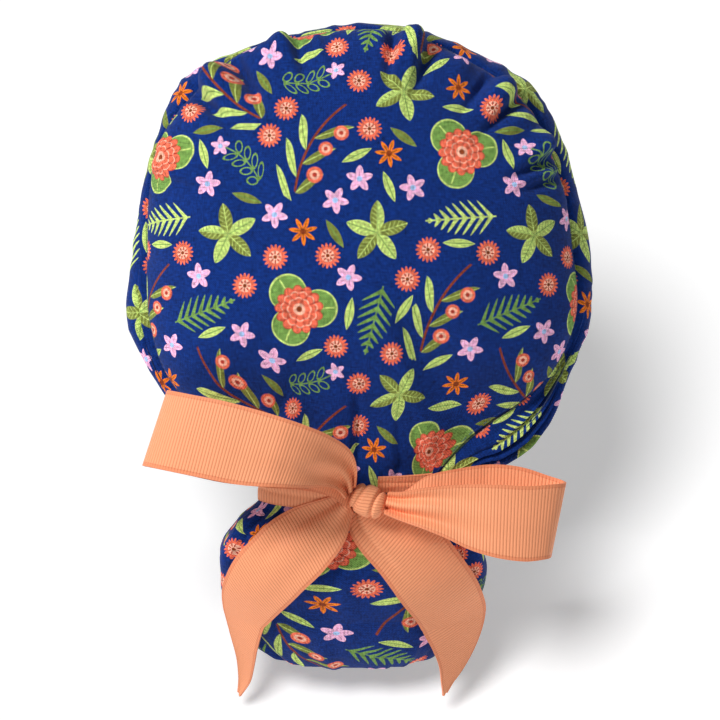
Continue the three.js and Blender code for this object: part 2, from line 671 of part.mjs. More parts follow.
const cap = new THREE.Group();
cap.add(
  piece('crown_panel', crownGeometry(), printedCotton()),
  piece('side_band', bandGeometry(), printedCotton()),
  piece('ponytail_pouch', pouchGeometry(), printedCotton()),
  piece('ribbon_strap_left', strapGeometry(-1), grosgrain()),
  piece('ribbon_strap_right', strapGeometry(1), grosgrain()),
  piece('ribbon_knot', knotGeometry(), grosgrain()),
  piece('ribbon_loop_left', loopGeometry(leftLoop, -1, loopLengthLeft), grosgrain()),
  piece('ribbon_loop_right', loopGeometry(rightLoop, 1, loopLengthRight), grosgrain()),
  piece('ribbon_tail_left', tailGeometry(leftTail, -1, tailLengthLeft), grosgrain()),
  piece('ribbon_tail_right', tailGeometry(rightTail, 1, tailLengthRight), grosgrain()),
);

// The head seat: where a level head's top touches inside the crown
const seatAngle = 90;
const seatShare = 0.72;
const seat = domePoint(seatShare, seatAngle).add(new THREE.Vector3(0, 0, -clothWall));
cap.rotation.x = degToRad(crownTilt);
cap.position.copy(seat.applyEuler(cap.rotation).negate());

const scrubCap = new THREE.Group();
scrubCap.add(cap);
export default scrubCap;
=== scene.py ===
"""A printed cotton scrub cap with a ponytail pouch, tied behind with a grosgrain ribbon bow.

The surfaces are functions of two parameters in the crown's own frame, in millimetres: x across, y along
the crown panel towards the forehead and z out of the panel. place_in_world tilts them and brings them to
metres. Angles are in degrees except on the knot and in the print.
"""
import math

import bpy
import numpy as np
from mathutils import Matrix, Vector


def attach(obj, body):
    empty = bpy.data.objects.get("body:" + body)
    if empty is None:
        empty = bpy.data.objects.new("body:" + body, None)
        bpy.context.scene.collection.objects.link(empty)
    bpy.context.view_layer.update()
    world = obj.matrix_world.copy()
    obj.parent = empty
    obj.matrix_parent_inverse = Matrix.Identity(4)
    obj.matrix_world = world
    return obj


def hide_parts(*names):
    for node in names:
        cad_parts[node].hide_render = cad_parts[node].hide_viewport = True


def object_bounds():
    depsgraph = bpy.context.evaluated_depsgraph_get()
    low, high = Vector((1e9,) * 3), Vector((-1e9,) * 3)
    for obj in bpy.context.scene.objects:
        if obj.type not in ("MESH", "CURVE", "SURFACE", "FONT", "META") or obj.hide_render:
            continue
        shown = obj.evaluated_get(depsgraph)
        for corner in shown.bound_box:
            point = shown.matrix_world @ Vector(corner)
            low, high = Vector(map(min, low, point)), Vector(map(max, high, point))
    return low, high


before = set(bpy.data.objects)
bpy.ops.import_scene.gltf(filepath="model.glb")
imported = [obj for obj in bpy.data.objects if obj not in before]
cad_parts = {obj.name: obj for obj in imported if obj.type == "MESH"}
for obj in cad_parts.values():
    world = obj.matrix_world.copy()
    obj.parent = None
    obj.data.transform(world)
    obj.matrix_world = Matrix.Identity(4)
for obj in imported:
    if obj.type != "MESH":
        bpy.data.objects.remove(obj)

CAD_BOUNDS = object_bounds()

bl_info = {
    "name": "Scrub cap with ribbon bow",
    "version": (1, 0, 0),
    "blender": (4, 5, 0),
    "location": "View3D > Sidebar > Scrub cap",
    "description": "Builds the cloth, the ribbon bow, the light and the camera of a scrub cap",
    "category": "Object",
}

# Crown panel
CROWN_RADIUS = 106
CROWN_PUFF = 42
CROWN_TILT = 50
GATHER_RISE = 6.5
GATHERS_WANE = 0.16
GATHERS_END = 0.42
TUCK_DEPTH = 3.2
TUCK_RUN_IN = 0.12
TUCKED_CLOTH = 6
CROWN_SLACK = 0.7
DOME_POWER = 2.4
DOME_STEEP = 0.62
DOME_GENTLE = 2.1
GENTLE_WITHIN = 10
STEEP_BEYOND = 60
SEAT_SHARE = 0.72

# Side band
BAND_FRONT_DEPTH = 85
BAND_NAPE_DEPTH = 32
BAND_BULGE = 10
BAND_FOLD_DEPTH = 3.4
BAND_SLACK = 0.8
BAND_USUAL_DEPTH = 60
BAND_RUN_PER_DEGREE = 1.8
HEM_SHARE = 0.86
HEM_DENT = 0.5
SEAM_ALLOWANCE = 2.5
BAND_MEASURED_ROW = 38
HEAD_WIDTH = 166
HEAD_LENGTH = 190

# Neck
NECK_WIDTH = 96
NECK_DEPTH = 32
NECK_DROP = 112
NECK_SET = 16
NECK_LEAN = 20
NECK_SEAM_LEFT = -90
NECK_SEAM_RIGHT = 44
NAPE = 270
NAPE_LEFT = 30
NAPE_RIGHT = 20
NAPE_REACH = 1.6
END_BLEND = 15
END_SPAN = 58
END_GAP = 1.9

# Pouch
POUCH_WIDTH = 130
POUCH_DEPTH = 56
POUCH_LENGTH = 110
POUCH_SHIFT = 3.6
POUCH_HANG = 0.85
POUCH_BEND = 0.6
POUCH_FOLD_DEPTH = 3
POUCH_PLEAT_DEPTH = 2
POUCH_SLACK = 0.8
POUCH_RUN_PER_DEGREE = 0.8
POUCH_SEAM_PLACE = 0.8
POUCH_TIP_PLACE = 1.02
FOLD_MEAN = 0.4

# Ribbon
RIBBON_WIDTH = 38
LOOP_LENGTH_LEFT = 93
LOOP_LENGTH_RIGHT = 82
LOOP_PUFF = 17
LOOP_EVENED_OVER = 0.04
LOOP_BRIDGES_FROM = 0.93
TAIL_LENGTH_LEFT = 114
TAIL_LENGTH_RIGHT = 109
TAIL_LEAVES = 0.72
TAIL_LEAVES_SOFTLY = 0.02
TAIL_EDGE_SOFTNESS = 0.06
STRAP_HEIGHT = 15
STRAP_STANDOFF = 0.9
STRAP_SEWN_LEFT = 9
STRAP_SEWN_RIGHT = 2
RIGHT_STRAP_RISE = 6
RIGHT_STRAP_NARROWED = 0.42
WOVEN_EDGE = 1.4
EDGE_GROOVE = 1.7
KNOT_WIDTH = 16
KNOT_HEIGHT = 15
KNOT_DEPTH = 13
KNOT_TURN = -24
KNOT_OFF_MIDDLE = 4
KNOT_WRAP_WIDTH = 26
KNOT_WRAP_LENGTH = 46

# Walls and clearances
CLOTH_WALL = 1.6
RIBBON_WALL = 1.2
CLEARANCE = 0.3
SEAM_CLEARANCE = 0.8

# The steps over which a surface's direction is taken
SHARE_STEP = 0.004
ANGLE_STEP = 0.5

# Stitches, and the painted shade along the crown's seam, on the cloth's flat coordinates
STITCH_OFF_SEAM = 2.2
STITCH_PITCH = 2.8
STITCH_SHARE = 0.62
THREAD_HALF_WIDTH = 0.28
SEAM_SHADE_WIDTH = 1.2
STITCH_SHARPNESS = 300

# Where the print starts on the band and on the pouch, and its run once round the pouch
BAND_PRINT_START = (300, 150)
POUCH_PRINT_START = (60, 20)
POUCH_PRINT_ROUND = 300

# Floor, camera and lights: the floor's sizes and the rim light's in metres, places in the crown's frame
FLOOR_HALF = 4.0
FLOOR_GAP = 0.012
FLOOR_GLOW = 0.24
VIEW_CENTRE = (0, -52.8, 10)
SENSOR_WIDTH = 36
KEY_PLACE = (-750, 510, 800)
FLOOR_LIGHT_PLACE = (-200, 250, 950)
RIM_PLACE = (200, 1300, 100)
RIM_SIZE = 0.9


def table(columns, *rows):
    """A short table with named columns, as one array for each column."""
    return dict(zip(columns.split(), np.array(rows, float).T))


# The seam round the crown, anticlockwise from the wearer's right: angle in degrees, the seam's distance as
# a share of the crown's radius, and how far the band stands out beyond it as a share of the band's bulge
OUTLINE = table(
    "angle seam bulge",
    (0, 0.965, 0.95), (15, 0.963, 0.75), (30, 0.976, 0.95), (43, 1.007, 0.95), (60, 0.99, 0.65),
    (78, 1.006, 0.4), (104, 1.004, 0.3), (121, 1.045, 0.25), (136, 1.035, 0.95), (152, 1.035, 0.25),
    (165, 0.99, 0.45), (180, 0.965, 0.8), (196, 1.0, 1.15), (214, 1.045, 0.75), (232, 1.03, 0.95),
    (270, 1.04, 0.6), (306, 0.985, 2.2), (316, 1.005, 1.9), (328, 1.032, 0.95), (343, 1.025, 0.85),
)

# The large gathers that fan in from the seam, and the valleys beside them, whose rise is negative: spread in
# degrees, rise as a share of the gather rise and run, the distance from the seam to the fold's highest
# point, as a share of the crown's radius
GATHERS = table(
    "angle spread rise run",
    (168, 4, 0.3, 0.05), (155, 4.5, 0.5, 0.045), (142, 4, 0.45, 0.04), (130, 5, 1.5, 0.04),
    (119, 3.5, 0.4, 0.045), (111, 4.2, 1.1, 0.035), (97, 5, 0.35, 0.04), (86, 4, 0.35, 0.045),
    (76, 4, 1.4, 0.045), (62, 4, 0.5, 0.045), (48, 4.5, 1.1, 0.045), (38, 3.5, 0.4, 0.045),
    (30, 4.2, 0.9, 0.04), (17, 4, 0.4, 0.05), (224, 5, 0.5, 0.07), (248, 4.5, 0.5, 0.09),
    (262, 4, 0.35, 0.08), (280, 4, 0.4, 0.08), (294, 4.5, 0.5, 0.09), (130, 4, 0.4, 0.05),
    (124, 1.8, -1.2, 0.07), (136.5, 2.2, -0.8, 0.06), (107.5, 1.6, -0.8, 0.06), (76, 3.4, 0.4, 0.04),
    (80.5, 1.6, -0.8, 0.06), (71, 2, -1.1, 0.08), (48, 3.6, 0.4, 0.04), (43.5, 1.6, -0.9, 0.07),
    (53, 1.8, -0.8, 0.06), (30, 3.6, 0.4, 0.04), (25.5, 1.7, -0.8, 0.07), (20, 1.6, -0.6, 0.06),
)

# The tucks behind, which run up the crown from the neck, as shares of the crown's radius and tuck depth
TUCKS = table(
    "side top width depth",
    (-0.032, 0.6, 0.04, 1.1), (0.16, 0.7, 0.03, 0.6), (-0.25, 0.78, 0.04, 0.5),
)

# The lengthwise folds of the band near its back ends
BAND_FOLDS = table(
    "angle spread down width depth",
    (203, 12, 0.02, 0.03, 1.3), (226, 12, 0.12, 0.05, 1.0), (212, 11, 0.07, 0.04, 1.0),
    (323, 14, 0.004, 0.012, 1.5), (320, 15, 0.026, 0.016, 1.5), (316, 16, 0.06, 0.022, 1.4),
    (312, 16, 0.112, 0.035, 1.4), (307, 14, 0.21, 0.06, 1.2), (303, 13, 0.4, 0.1, 0.9),
)

# The pouch from the neck down: half widths and half depths as shares of the pouch's own
POUCH_SECTIONS = table(
    "down half deep shift",
    (0, NECK_WIDTH / POUCH_WIDTH, NECK_DEPTH / POUCH_DEPTH, 0),
    (0.08, NECK_WIDTH / POUCH_WIDTH + 0.01, NECK_DEPTH / POUCH_DEPTH + 0.02, 0),
    (0.18, 0.9, 0.8, 0.6), (0.34, 1, 0.97, 1), (0.52, 1, 1, 1), (0.68, 0.95, 0.95, 1),
    (0.82, 0.86, 0.82, 0.9), (0.93, 0.7, 0.58, 0.8), (1, 0.42, 0.24, 0.8),
)

# The folds that run down the pouch from the neck: turn is the angle round it from its outermost line
POUCH_FOLDS = table(
    "turn spread rise",
    (-72, 9, 0.9), (-48, 7, 1), (-27, 7, 0.7), (-4, 8, 0.6), (20, 7, 0.7), (44, 8, 0.9), (70, 9, 0.8),
    (140, 12, 0.5), (215, 12, 0.5),
)

# The sharp pleats where the neck draws the pouch in
POUCH_PLEATS = table(
    "turn width rise",
    (-66, 5, 1.5), (-53, 4, 1.6), (-41, 4, 1.3), (40, 4, 1), (58, 5, 1.1),
)

# A loop from the knot out along its front layer, round its end and back behind: reach and rise are shares
# of the loop's length, proud is the height over the cloth below as a share of the loop's puff, full is the
# share of the ribbon's width that the gathered ribbon keeps, and lean is in degrees
LEFT_LOOP = table(
    "reach rise proud full lean",
    (0, 0.045, 0.2, 0.2, 40), (0.015, 0.11, 0.45, 0.36, 42), (0.065, 0.17, 0.7, 0.56, 34),
    (0.165, 0.205, 0.95, 0.72, 26), (0.31, 0.24, 1.1, 0.84, 19), (0.5, 0.275, 1.15, 0.96, 17),
    (0.7, 0.32, 1.1, 1, 15), (0.88, 0.355, 0.9, 1, 16), (0.985, 0.375, 0.65, 1, 18),
    (1, 0.375, 0.4, 1, 18), (0.95, 0.365, 0.2, 1, 17), (0.8, 0.335, 0.1, 1, 15),
    (0.6, 0.29, 0.1, 0.98, 13), (0.4, 0.245, 0.1, 0.86, 12), (0.22, 0.19, 0.1, 0.66, 14),
    (0.08, 0.1, -0.05, 0.4, 22), (0, 0, -0.25, 0.22, 20),
)
RIGHT_LOOP = table(
    "reach rise proud full lean",
    (0, -0.01, 0.2, 0.28, 12), (0.09, -0.03, 0.5, 0.37, 2), (0.215, -0.04, 0.85, 0.51, 3),
    (0.35, -0.06, 1.05, 0.66, 2), (0.49, -0.09, 1.15, 0.82, 2), (0.65, -0.115, 1.2, 0.92, 2),
    (0.815, -0.13, 1.1, 0.95, 3), (0.945, -0.12, 0.85, 0.95, 6), (1, -0.11, 0.55, 0.95, 11),
    (0.99, -0.095, 0.3, 0.95, 11), (0.92, -0.07, 0.15, 0.95, 8), (0.77, -0.02, 0.1, 0.95, 4),
    (0.6, 0.005, 0.1, 0.9, 2), (0.4, 0.02, 0.1, 0.72, 2), (0.23, 0.03, 0.05, 0.5, 4),
    (0.09, 0, -0.1, 0.22, 8), (0, 0, -0.25, 0.2, 10),
)

# A tail from the knot to its slanted end: side and fall are shares of the tail's length, full is the share
# of the ribbon's width that shows and lean is the ribbon's turn in degrees from hanging level
LEFT_TAIL = table(
    "side fall full lean",
    (0.085, -0.035, 0.24, 55), (0.148, 0.026, 0.5, 50), (0.25, 0.095, 0.67, 50), (0.375, 0.19, 0.75, 47),
    (0.475, 0.31, 0.81, 48), (0.53, 0.45, 0.83, 51), (0.545, 0.6, 0.73, 54), (0.54, 0.73, 0.56, 57),
    (0.535, 0.86, 0.34, 62), (0.555, 1, 0.06, 66),
)
RIGHT_TAIL = table(
    "side fall full lean",
    (-0.012, -0.026, 0.5, 38), (0.012, 0.01, 0.68, 38), (0.08, 0.065, 0.77, 38), (0.17, 0.135, 0.81, 38),
    (0.25, 0.225, 0.84, 36), (0.34, 0.37, 0.88, 32), (0.38, 0.52, 0.88, 28), (0.405, 0.65, 0.76, 28),
    (0.405, 0.78, 0.56, 28), (0.38, 0.9, 0.34, 31), (0.345, 1, 0.06, 40),
)


def cubic(before, start, end, after, share):
    """The cubic through two rows of a table, with slopes there of half their neighbours' difference."""
    square = share ** 2
    cube = share ** 3
    slope_start = (end - before) / 2
    slope_end = (after - start) / 2
    return ((2 * cube - 3 * square + 1) * start + (cube - 2 * square + share) * slope_start
            + (3 * square - 2 * cube) * end + (cube - square) * slope_end)


def round_table(rows, angle, column):
    """A column of a table that goes once round, at an angle in degrees."""
    turn = np.mod(angle, 360)
    count = len(rows["angle"])
    index = np.searchsorted(rows["angle"], turn, side="right") - 1

    def row(step, name):
        return rows[name][np.mod(index + step, count)]

    width = np.mod(row(1, "angle") - row(0, "angle"), 360)
    share = np.mod(turn - row(0, "angle"), 360) / width
    return cubic(row(-1, column), row(0, column), row(1, column), row(2, column), share)


def open_table(rows, place, column):
    """A column of a table at a place from 0 at its first row to 1 at its last."""
    values = rows[column]
    last = len(values) - 1
    position = np.clip(place, 0, 1) * last
    index = np.minimum(np.floor(position).astype(int), last - 1)

    def row(step):
        return values[np.clip(index + step, 0, last)]

    return cubic(row(-1), row(0), row(1), row(2), position - index)


def pouch_place(down):
    """The place of a share down the pouch in its table, whose rows are not evenly spaced."""
    downs = POUCH_SECTIONS["down"]
    last = len(downs) - 1
    index = np.clip(np.searchsorted(downs, down, side="right") - 1, 0, last - 1)
    return (index + (down - downs[index]) / (downs[index + 1] - downs[index])) / last


def bell(offset, width):
    """e^(-(offset / width)^2)."""
    return np.exp(-(offset / width) ** 2)


def pleat(offset, width):
    """0 before the fold, 1 just past its sharp edge, and then exp(-offset / width) back to 0."""
    return smooth(offset, 0, 0.25 * width) * np.exp(-np.maximum(offset, 0) / width)


def smooth(value, low, high):
    """3 t^2 - 2 t^3, where t goes from 0 at low to 1 at high."""
    t = np.clip((value - low) / (high - low), 0, 1)
    return t * t * (3 - 2 * t)


def mix(start, end, share):
    """start + (end - start) share, for numbers or for points."""
    share = np.asarray(share, float)
    if np.ndim(start) > share.ndim or np.ndim(end) > share.ndim:
        share = share[..., None]
    return start + (end - start) * share


def angle_between(angle, other):
    """angle - other, from -180 to 180."""
    return np.mod(angle - other + 180, 360) - 180


def sine(degrees):
    """The sine of an angle in degrees."""
    return np.sin(np.radians(degrees))


def cosine(degrees):
    """The cosine of an angle in degrees."""
    return np.cos(np.radians(degrees))


def point(x, y, z):
    """Points from their three numbers."""
    return np.stack(np.broadcast_arrays(x, y, z), axis=-1).astype(float)


def unit(vector):
    """A vector divided by its length."""
    return vector / np.maximum(np.linalg.norm(vector, axis=-1, keepdims=True), 1e-9)


def lengths(vector):
    """The length of each vector."""
    return np.linalg.norm(vector, axis=-1)


ACROSS = point(1, 0, 0)
NECK_CENTRE = point(0, -NECK_DROP, -NECK_SET)
NECK_AXIS = point(0, -cosine(NECK_LEAN), -sine(NECK_LEAN))
NECK_OUTWARD = np.cross(NECK_AXIS, ACROSS)
PLUMB = point(0, -cosine(90 - CROWN_TILT), -sine(90 - CROWN_TILT))


def neck_point(turn, along, out=0.0):
    """centre + across (w/2 + out) sin turn + outward (d/2 + out) cos turn + axis along."""
    turn, along, out = np.broadcast_arrays(turn, along, out)
    return (NECK_CENTRE + ACROSS * ((NECK_WIDTH / 2 + out) * sine(turn))[..., None]
            + NECK_OUTWARD * ((NECK_DEPTH / 2 + out) * cosine(turn))[..., None]
            + NECK_AXIS * along[..., None])


def nape_place(angle):
    """A place along the crown's edge near the nape: 0 at its middle and 1 where the neck ring ends."""
    away = angle_between(angle, NAPE)
    return np.where(away < 0, away / NAPE_LEFT, away / NAPE_RIGHT)


def nape_share(angle):
    """1 along the neck ring, and smoothly 0 at the nape's reach."""
    return 1 - smooth(np.abs(nape_place(angle)), 1, NAPE_REACH)


def crown_edge(angle):
    """The seam R s(angle) (cos, sin, 0), drawn into the neck ring round the nape."""
    reach = CROWN_RADIUS * round_table(OUTLINE, angle, "seam")
    seam = point(reach * cosine(angle), reach * sine(angle), 0)
    place = np.clip(nape_place(angle), -1, 1)
    turn = np.where(place < 0, -place * NECK_SEAM_LEFT, place * NECK_SEAM_RIGHT)
    return mix(seam, neck_point(turn, -SEAM_CLEARANCE), nape_share(angle))


def dome_point(share, angle):
    """x and y: share times R (cos, sin) mixed to the edge by share^3.

    z: puff (1 - share^power)^n + the nape's run + edge z share^3, with n gentler towards the nape.
    """
    share, angle = np.broadcast_arrays(share, angle)
    edge = crown_edge(angle)
    gentle = 1 - smooth(np.abs(angle_between(angle, NAPE)), GENTLE_WITHIN, STEEP_BEYOND)
    fall = np.maximum(1 - share ** DOME_POWER, 0) ** mix(DOME_STEEP, DOME_GENTLE, gentle)
    run = (1 - share) * share ** 2 * NECK_DROP * math.tan(math.radians(NECK_LEAN)) * nape_share(angle)
    circle = point(CROWN_RADIUS * cosine(angle), CROWN_RADIUS * sine(angle), 0)
    flat = mix(circle, edge, share ** 3) * share[..., None]
    flat[..., 2] = CROWN_PUFF * fall + run + edge[..., 2] * share ** 3
    return flat


def fold_sum(rows, share_in, angle, scale=1.0):
    """Sum of rise (d / run) e^(1 - d / run) bell(angle), for folds that start at an edge."""
    total = 0
    for i in range(len(rows["angle"])):
        reach = share_in / rows["run"][i]
        total = total + (scale * rows["rise"][i] * reach * np.exp(1 - reach)
                         * bell(angle_between(angle, rows["angle"][i]), rows["spread"][i]))
    return total


def small_folds(seed, count, between, spread, rise, run):
    """A seeded table of small folds, each column even between its two limits. Half the folds go in."""
    random = np.random.default_rng(seed)
    angle = random.uniform(*between, count)
    sign = np.where(random.random(count) < 0.5, 1, -0.8)
    return {
        "angle": angle,
        "spread": random.uniform(*spread, count),
        "rise": random.uniform(*rise, count) * sign,
        "run": random.uniform(*run, count),
    }


# The crown's small puckers: seed, count, the angles that they lie between, and the limits of their spread in
# degrees, of their rise in millimetres and of their run as a share of the crown's radius
SEAM_PUCKERS = small_folds(11, 150, (0, 360), (0.9, 2.1), (0.15, 0.6), (0.02, 0.06))
FRONT_PUCKERS = small_folds(12, 80, (12, 172), (1.0, 2.2), (0.4, 1.3), (0.03, 0.1))
NAPE_PUCKERS = small_folds(13, 26, (238, 294), (0.9, 1.8), (0.3, 0.9), (0.035, 0.07))


def ripple(x, y, seed, count, shortest, longest):
    """Sum of sines in seeded directions, with wavelengths between two limits: about -1 to 1."""
    random = np.random.default_rng(seed)
    total = 0
    for _ in range(count):
        turn = random.uniform(0, math.pi)
        wave = 2 * math.pi / random.uniform(shortest, longest)
        total = total + np.sin(wave * (x * math.cos(turn) + y * math.sin(turn)) + random.uniform(0, 6.28))
    return total / math.sqrt(count) / 1.4


def crown_lift(share, angle):
    """How far gathers, small puckers and slack lift the crown's cloth off the dome, less its tucks."""
    inward = 1 - share
    gathered = fold_sum(GATHERS, inward, angle, GATHER_RISE)
    for puckers in (SEAM_PUCKERS, FRONT_PUCKERS, NAPE_PUCKERS):
        gathered = gathered + fold_sum(puckers, inward, angle)
    gathered = gathered * (1 - smooth(inward, GATHERS_WANE, GATHERS_END))
    side = share * cosine(angle)
    drop = -share * sine(angle)
    tucked = 0
    for i in range(len(TUCKS["side"])):
        top = TUCKS["top"][i]
        length = smooth(drop, top, top + TUCK_RUN_IN) * (1 - smooth(drop, 0.95, 1.01))
        fold = pleat(side - TUCKS["side"][i], TUCKS["width"][i])
        tucked = tucked + TUCK_DEPTH * TUCKS["depth"][i] * length * fold
    strap = STRAP_HEIGHT / 2 / CROWN_RADIUS
    bound = nape_share(angle) * (1 - smooth(inward, strap, strap * 2.2))
    waves = ripple(side * CROWN_RADIUS, drop * CROWN_RADIUS, seed=21, count=7, shortest=24, longest=60)
    slack = CROWN_SLACK * waves * smooth(inward, 0.03, 0.2)
    return gathered * (1 - smooth(share, 0.985, 1)) * (1 - bound) - tucked + slack


def crown_surface(share, angle):
    """dome_point + normal crown_lift, where the normal is across the round and inward steps."""
    base = dome_point(share, angle)
    inner = dome_point(np.maximum(share - SHARE_STEP, 0), angle)
    beside = dome_point(share, angle + ANGLE_STEP)
    normal = unit(np.cross(beside - base, inner - base))
    lifted = base + normal * (crown_lift(share, angle) * smooth(share, 0.02, 0.06))[..., None]
    return np.where(share[..., None] < 0.02, base, lifted)


def pouch_middle(down):
    """centre + down length direction, where the direction bends from the neck's axis to plumb."""
    down = np.asarray(down, float)
    bend = POUCH_HANG * smooth(down, 0, POUCH_BEND)
    direction = unit(mix(np.broadcast_to(NECK_AXIS, down.shape + (3,)), PLUMB, bend))
    return NECK_CENTRE + direction * (down * POUCH_LENGTH)[..., None]


def pouch_frame(down):
    """The pouch's middle, outward direction, half width, half depth and sideways shift at a share down."""
    middle = pouch_middle(down)
    ahead = unit(pouch_middle(down + 0.01) - middle)
    place = pouch_place(down)
    return (middle, np.cross(ahead, ACROSS), POUCH_WIDTH / 2 * open_table(POUCH_SECTIONS, place, "half"),
            POUCH_DEPTH / 2 * open_table(POUCH_SECTIONS, place, "deep"),
            -POUCH_SHIFT * open_table(POUCH_SECTIONS, place, "shift"))


POUCH_PUCKERS = small_folds(14, 70, (-180, 180), (1.6, 3.6), (0.25, 0.9), (0.05, 0.13))
HEM_PUCKERS = small_folds(15, 60, (-180, 180), (2.0, 4.5), (0.8, 2.1), (0.06, 0.12))


def pouch_surface(down, turn):
    """middle + across (a + s) sin turn + outward (b + s) cos turn, with s the swell of the folds."""
    down, turn = np.broadcast_arrays(down, turn)
    middle, outward, half_width, half_depth, shift = pouch_frame(down)
    folded = 0
    for i in range(len(POUCH_FOLDS["turn"])):
        fold = bell(angle_between(turn, POUCH_FOLDS["turn"][i]), POUCH_FOLDS["spread"][i])
        folded = folded + POUCH_FOLDS["rise"][i] * fold
    fade = smooth(down, 0.08, 0.2) * (1 - smooth(down, 0.35, 0.8))
    swell = POUCH_FOLD_DEPTH * (folded - FOLD_MEAN) * fade
    swell = swell + fold_sum(POUCH_PUCKERS, np.maximum(down - 0.08, 0), turn) * smooth(down, 0.06, 0.16)
    swell = swell + fold_sum(HEM_PUCKERS, np.maximum(1 - down, 0), turn) * (1 - smooth(down, 0.97, 1))
    near = smooth(down, 0.05, 0.13) * (1 - smooth(down, 0.22, 0.55))
    for i in range(len(POUCH_PLEATS["turn"])):
        fold = pleat(turn - POUCH_PLEATS["turn"][i], POUCH_PLEATS["width"][i])
        swell = swell - POUCH_PLEAT_DEPTH * near * POUCH_PLEATS["rise"][i] * fold
    around = turn * POUCH_RUN_PER_DEGREE
    waves = ripple(around, down * POUCH_LENGTH, seed=22, count=7, shortest=20, longest=45)
    swell = swell + POUCH_SLACK * waves * fade
    return (middle + ACROSS * ((half_width + swell) * sine(turn) + shift)[..., None]
            + outward * ((half_depth + swell) * cosine(turn))[..., None])


BAND_FROM = NAPE + NAPE_RIGHT - 360
BAND_TO = NAPE - NAPE_LEFT
BAND_PUCKERS = small_folds(16, 120, (-70, 240), (0.9, 2.2), (0.15, 0.7), (0.04, 0.14))


def band_ring(share, angle):
    """radial (mix(seam, hem, share^2) + bulge sin(pi share^0.55)), edge z - share depth."""
    edge = crown_edge(angle)
    radial = point(cosine(angle), sine(angle), 0)
    hem_centre = (HEAD_LENGTH - NECK_DROP * 2) / 4
    hem = point(HEAD_WIDTH / 2 * cosine(angle), hem_centre + HEAD_LENGTH / 2 * sine(angle), 0)
    bulge = BAND_BULGE * round_table(OUTLINE, angle, "bulge") * np.sin(math.pi * share ** 0.55)
    out = mix(lengths(edge[..., :2]), lengths(hem), share ** 2) + bulge
    down = mix(BAND_NAPE_DEPTH, BAND_FRONT_DEPTH, (1 + sine(angle)) / 2)
    ring = radial * out[..., None]
    ring[..., 2] = edge[..., 2] - share * down
    return ring


def band_base(share, angle):
    """crown_edge + clearance + the ring's offset, turned into the neck ring near its two ends."""
    start = np.where(angle > 90, NECK_SEAM_LEFT, NECK_SEAM_RIGHT)
    pace = lengths(neck_point(start, 0) - neck_point(start + 1, 0))
    turn = start + np.sign(start) * ((END_GAP * smooth(share, 0, 0.05) - 1) / pace + share * END_SPAN)
    drawn = neck_point(turn, -SEAM_CLEARANCE * 1.5) - neck_point(start, -SEAM_CLEARANCE)
    top = band_ring(np.zeros_like(share), angle)
    opened = smooth(np.minimum(angle - BAND_FROM, BAND_TO - angle), 0, END_BLEND)
    away = (unit(top * [1, 1, 0]) - point(0, 0, 1)) * CLEARANCE
    allowance = unit(top * [1, 1, 0]) * (-SEAM_ALLOWANCE * (1 - smooth(share, 0, 0.012)))[..., None]
    return crown_edge(angle) + away + allowance + mix(drawn, band_ring(share, angle) - top, opened)


def band_lift(share, angle):
    """How far small puckers and slack lift the band's cloth, less its lengthwise folds and its hem's dent."""
    folds = 0
    for i in range(len(BAND_FOLDS["angle"])):
        along = bell(angle_between(angle, BAND_FOLDS["angle"][i]), BAND_FOLDS["spread"][i])
        fold = pleat(share - BAND_FOLDS["down"][i], BAND_FOLDS["width"][i])
        folds = folds + BAND_FOLDS["depth"][i] * along * fold
    puckered = fold_sum(BAND_PUCKERS, share, angle) * smooth(share, 0, 0.03)
    along, down = angle * BAND_RUN_PER_DEGREE, share * BAND_USUAL_DEPTH
    waves = ripple(along, down, seed=23, count=7, shortest=22, longest=50)
    slack = BAND_SLACK * waves * smooth(share, 0.05, 0.3)
    hemmed = HEM_DENT * bell(share - HEM_SHARE, 0.008)
    free = smooth(np.minimum(angle - BAND_FROM, BAND_TO - angle), 0, 8)
    loose = puckered + slack * (1 - smooth(share, 0.9, 1)) - hemmed
    return loose * free - BAND_FOLD_DEPTH * folds * free


def band_surface(share, angle):
    """band_base + normal band_lift, where the normal is across the round and downward steps."""
    share, angle = np.broadcast_arrays(share, angle)
    base = band_base(share, angle)
    beside = band_base(share, angle + ANGLE_STEP)
    past = band_base(share + SHARE_STEP, angle)
    normal = unit(np.cross(beside - base, base - past))
    return base + normal * (band_lift(share, angle) * smooth(share, 0.002, 0.012))[..., None]


def cloth_height(x, y):
    """The cloth's height below a place, for what lies on it and bridges its steep edge."""
    angle = np.degrees(np.arctan2(y, x))
    edge = crown_edge(angle)
    share = LOOP_BRIDGES_FROM * np.hypot(x, y) / np.hypot(edge[..., 0], edge[..., 1])
    neck_top = float(neck_point(0, 0)[2])
    dome = dome_point(np.minimum(share, 1), angle)[..., 2]
    return np.where(share < 1, np.maximum(dome, neck_top), neck_top)


KNOT_CENTRE = neck_point(KNOT_OFF_MIDDLE, 0, STRAP_STANDOFF + RIBBON_WALL + CLEARANCE + KNOT_DEPTH / 2)
KNOT_SIDE = point(cosine(KNOT_TURN), sine(KNOT_TURN), 0)
KNOT_UP = point(-sine(KNOT_TURN), cosine(KNOT_TURN), 0)
KNOT_FRONT = point(0, 0, 1)


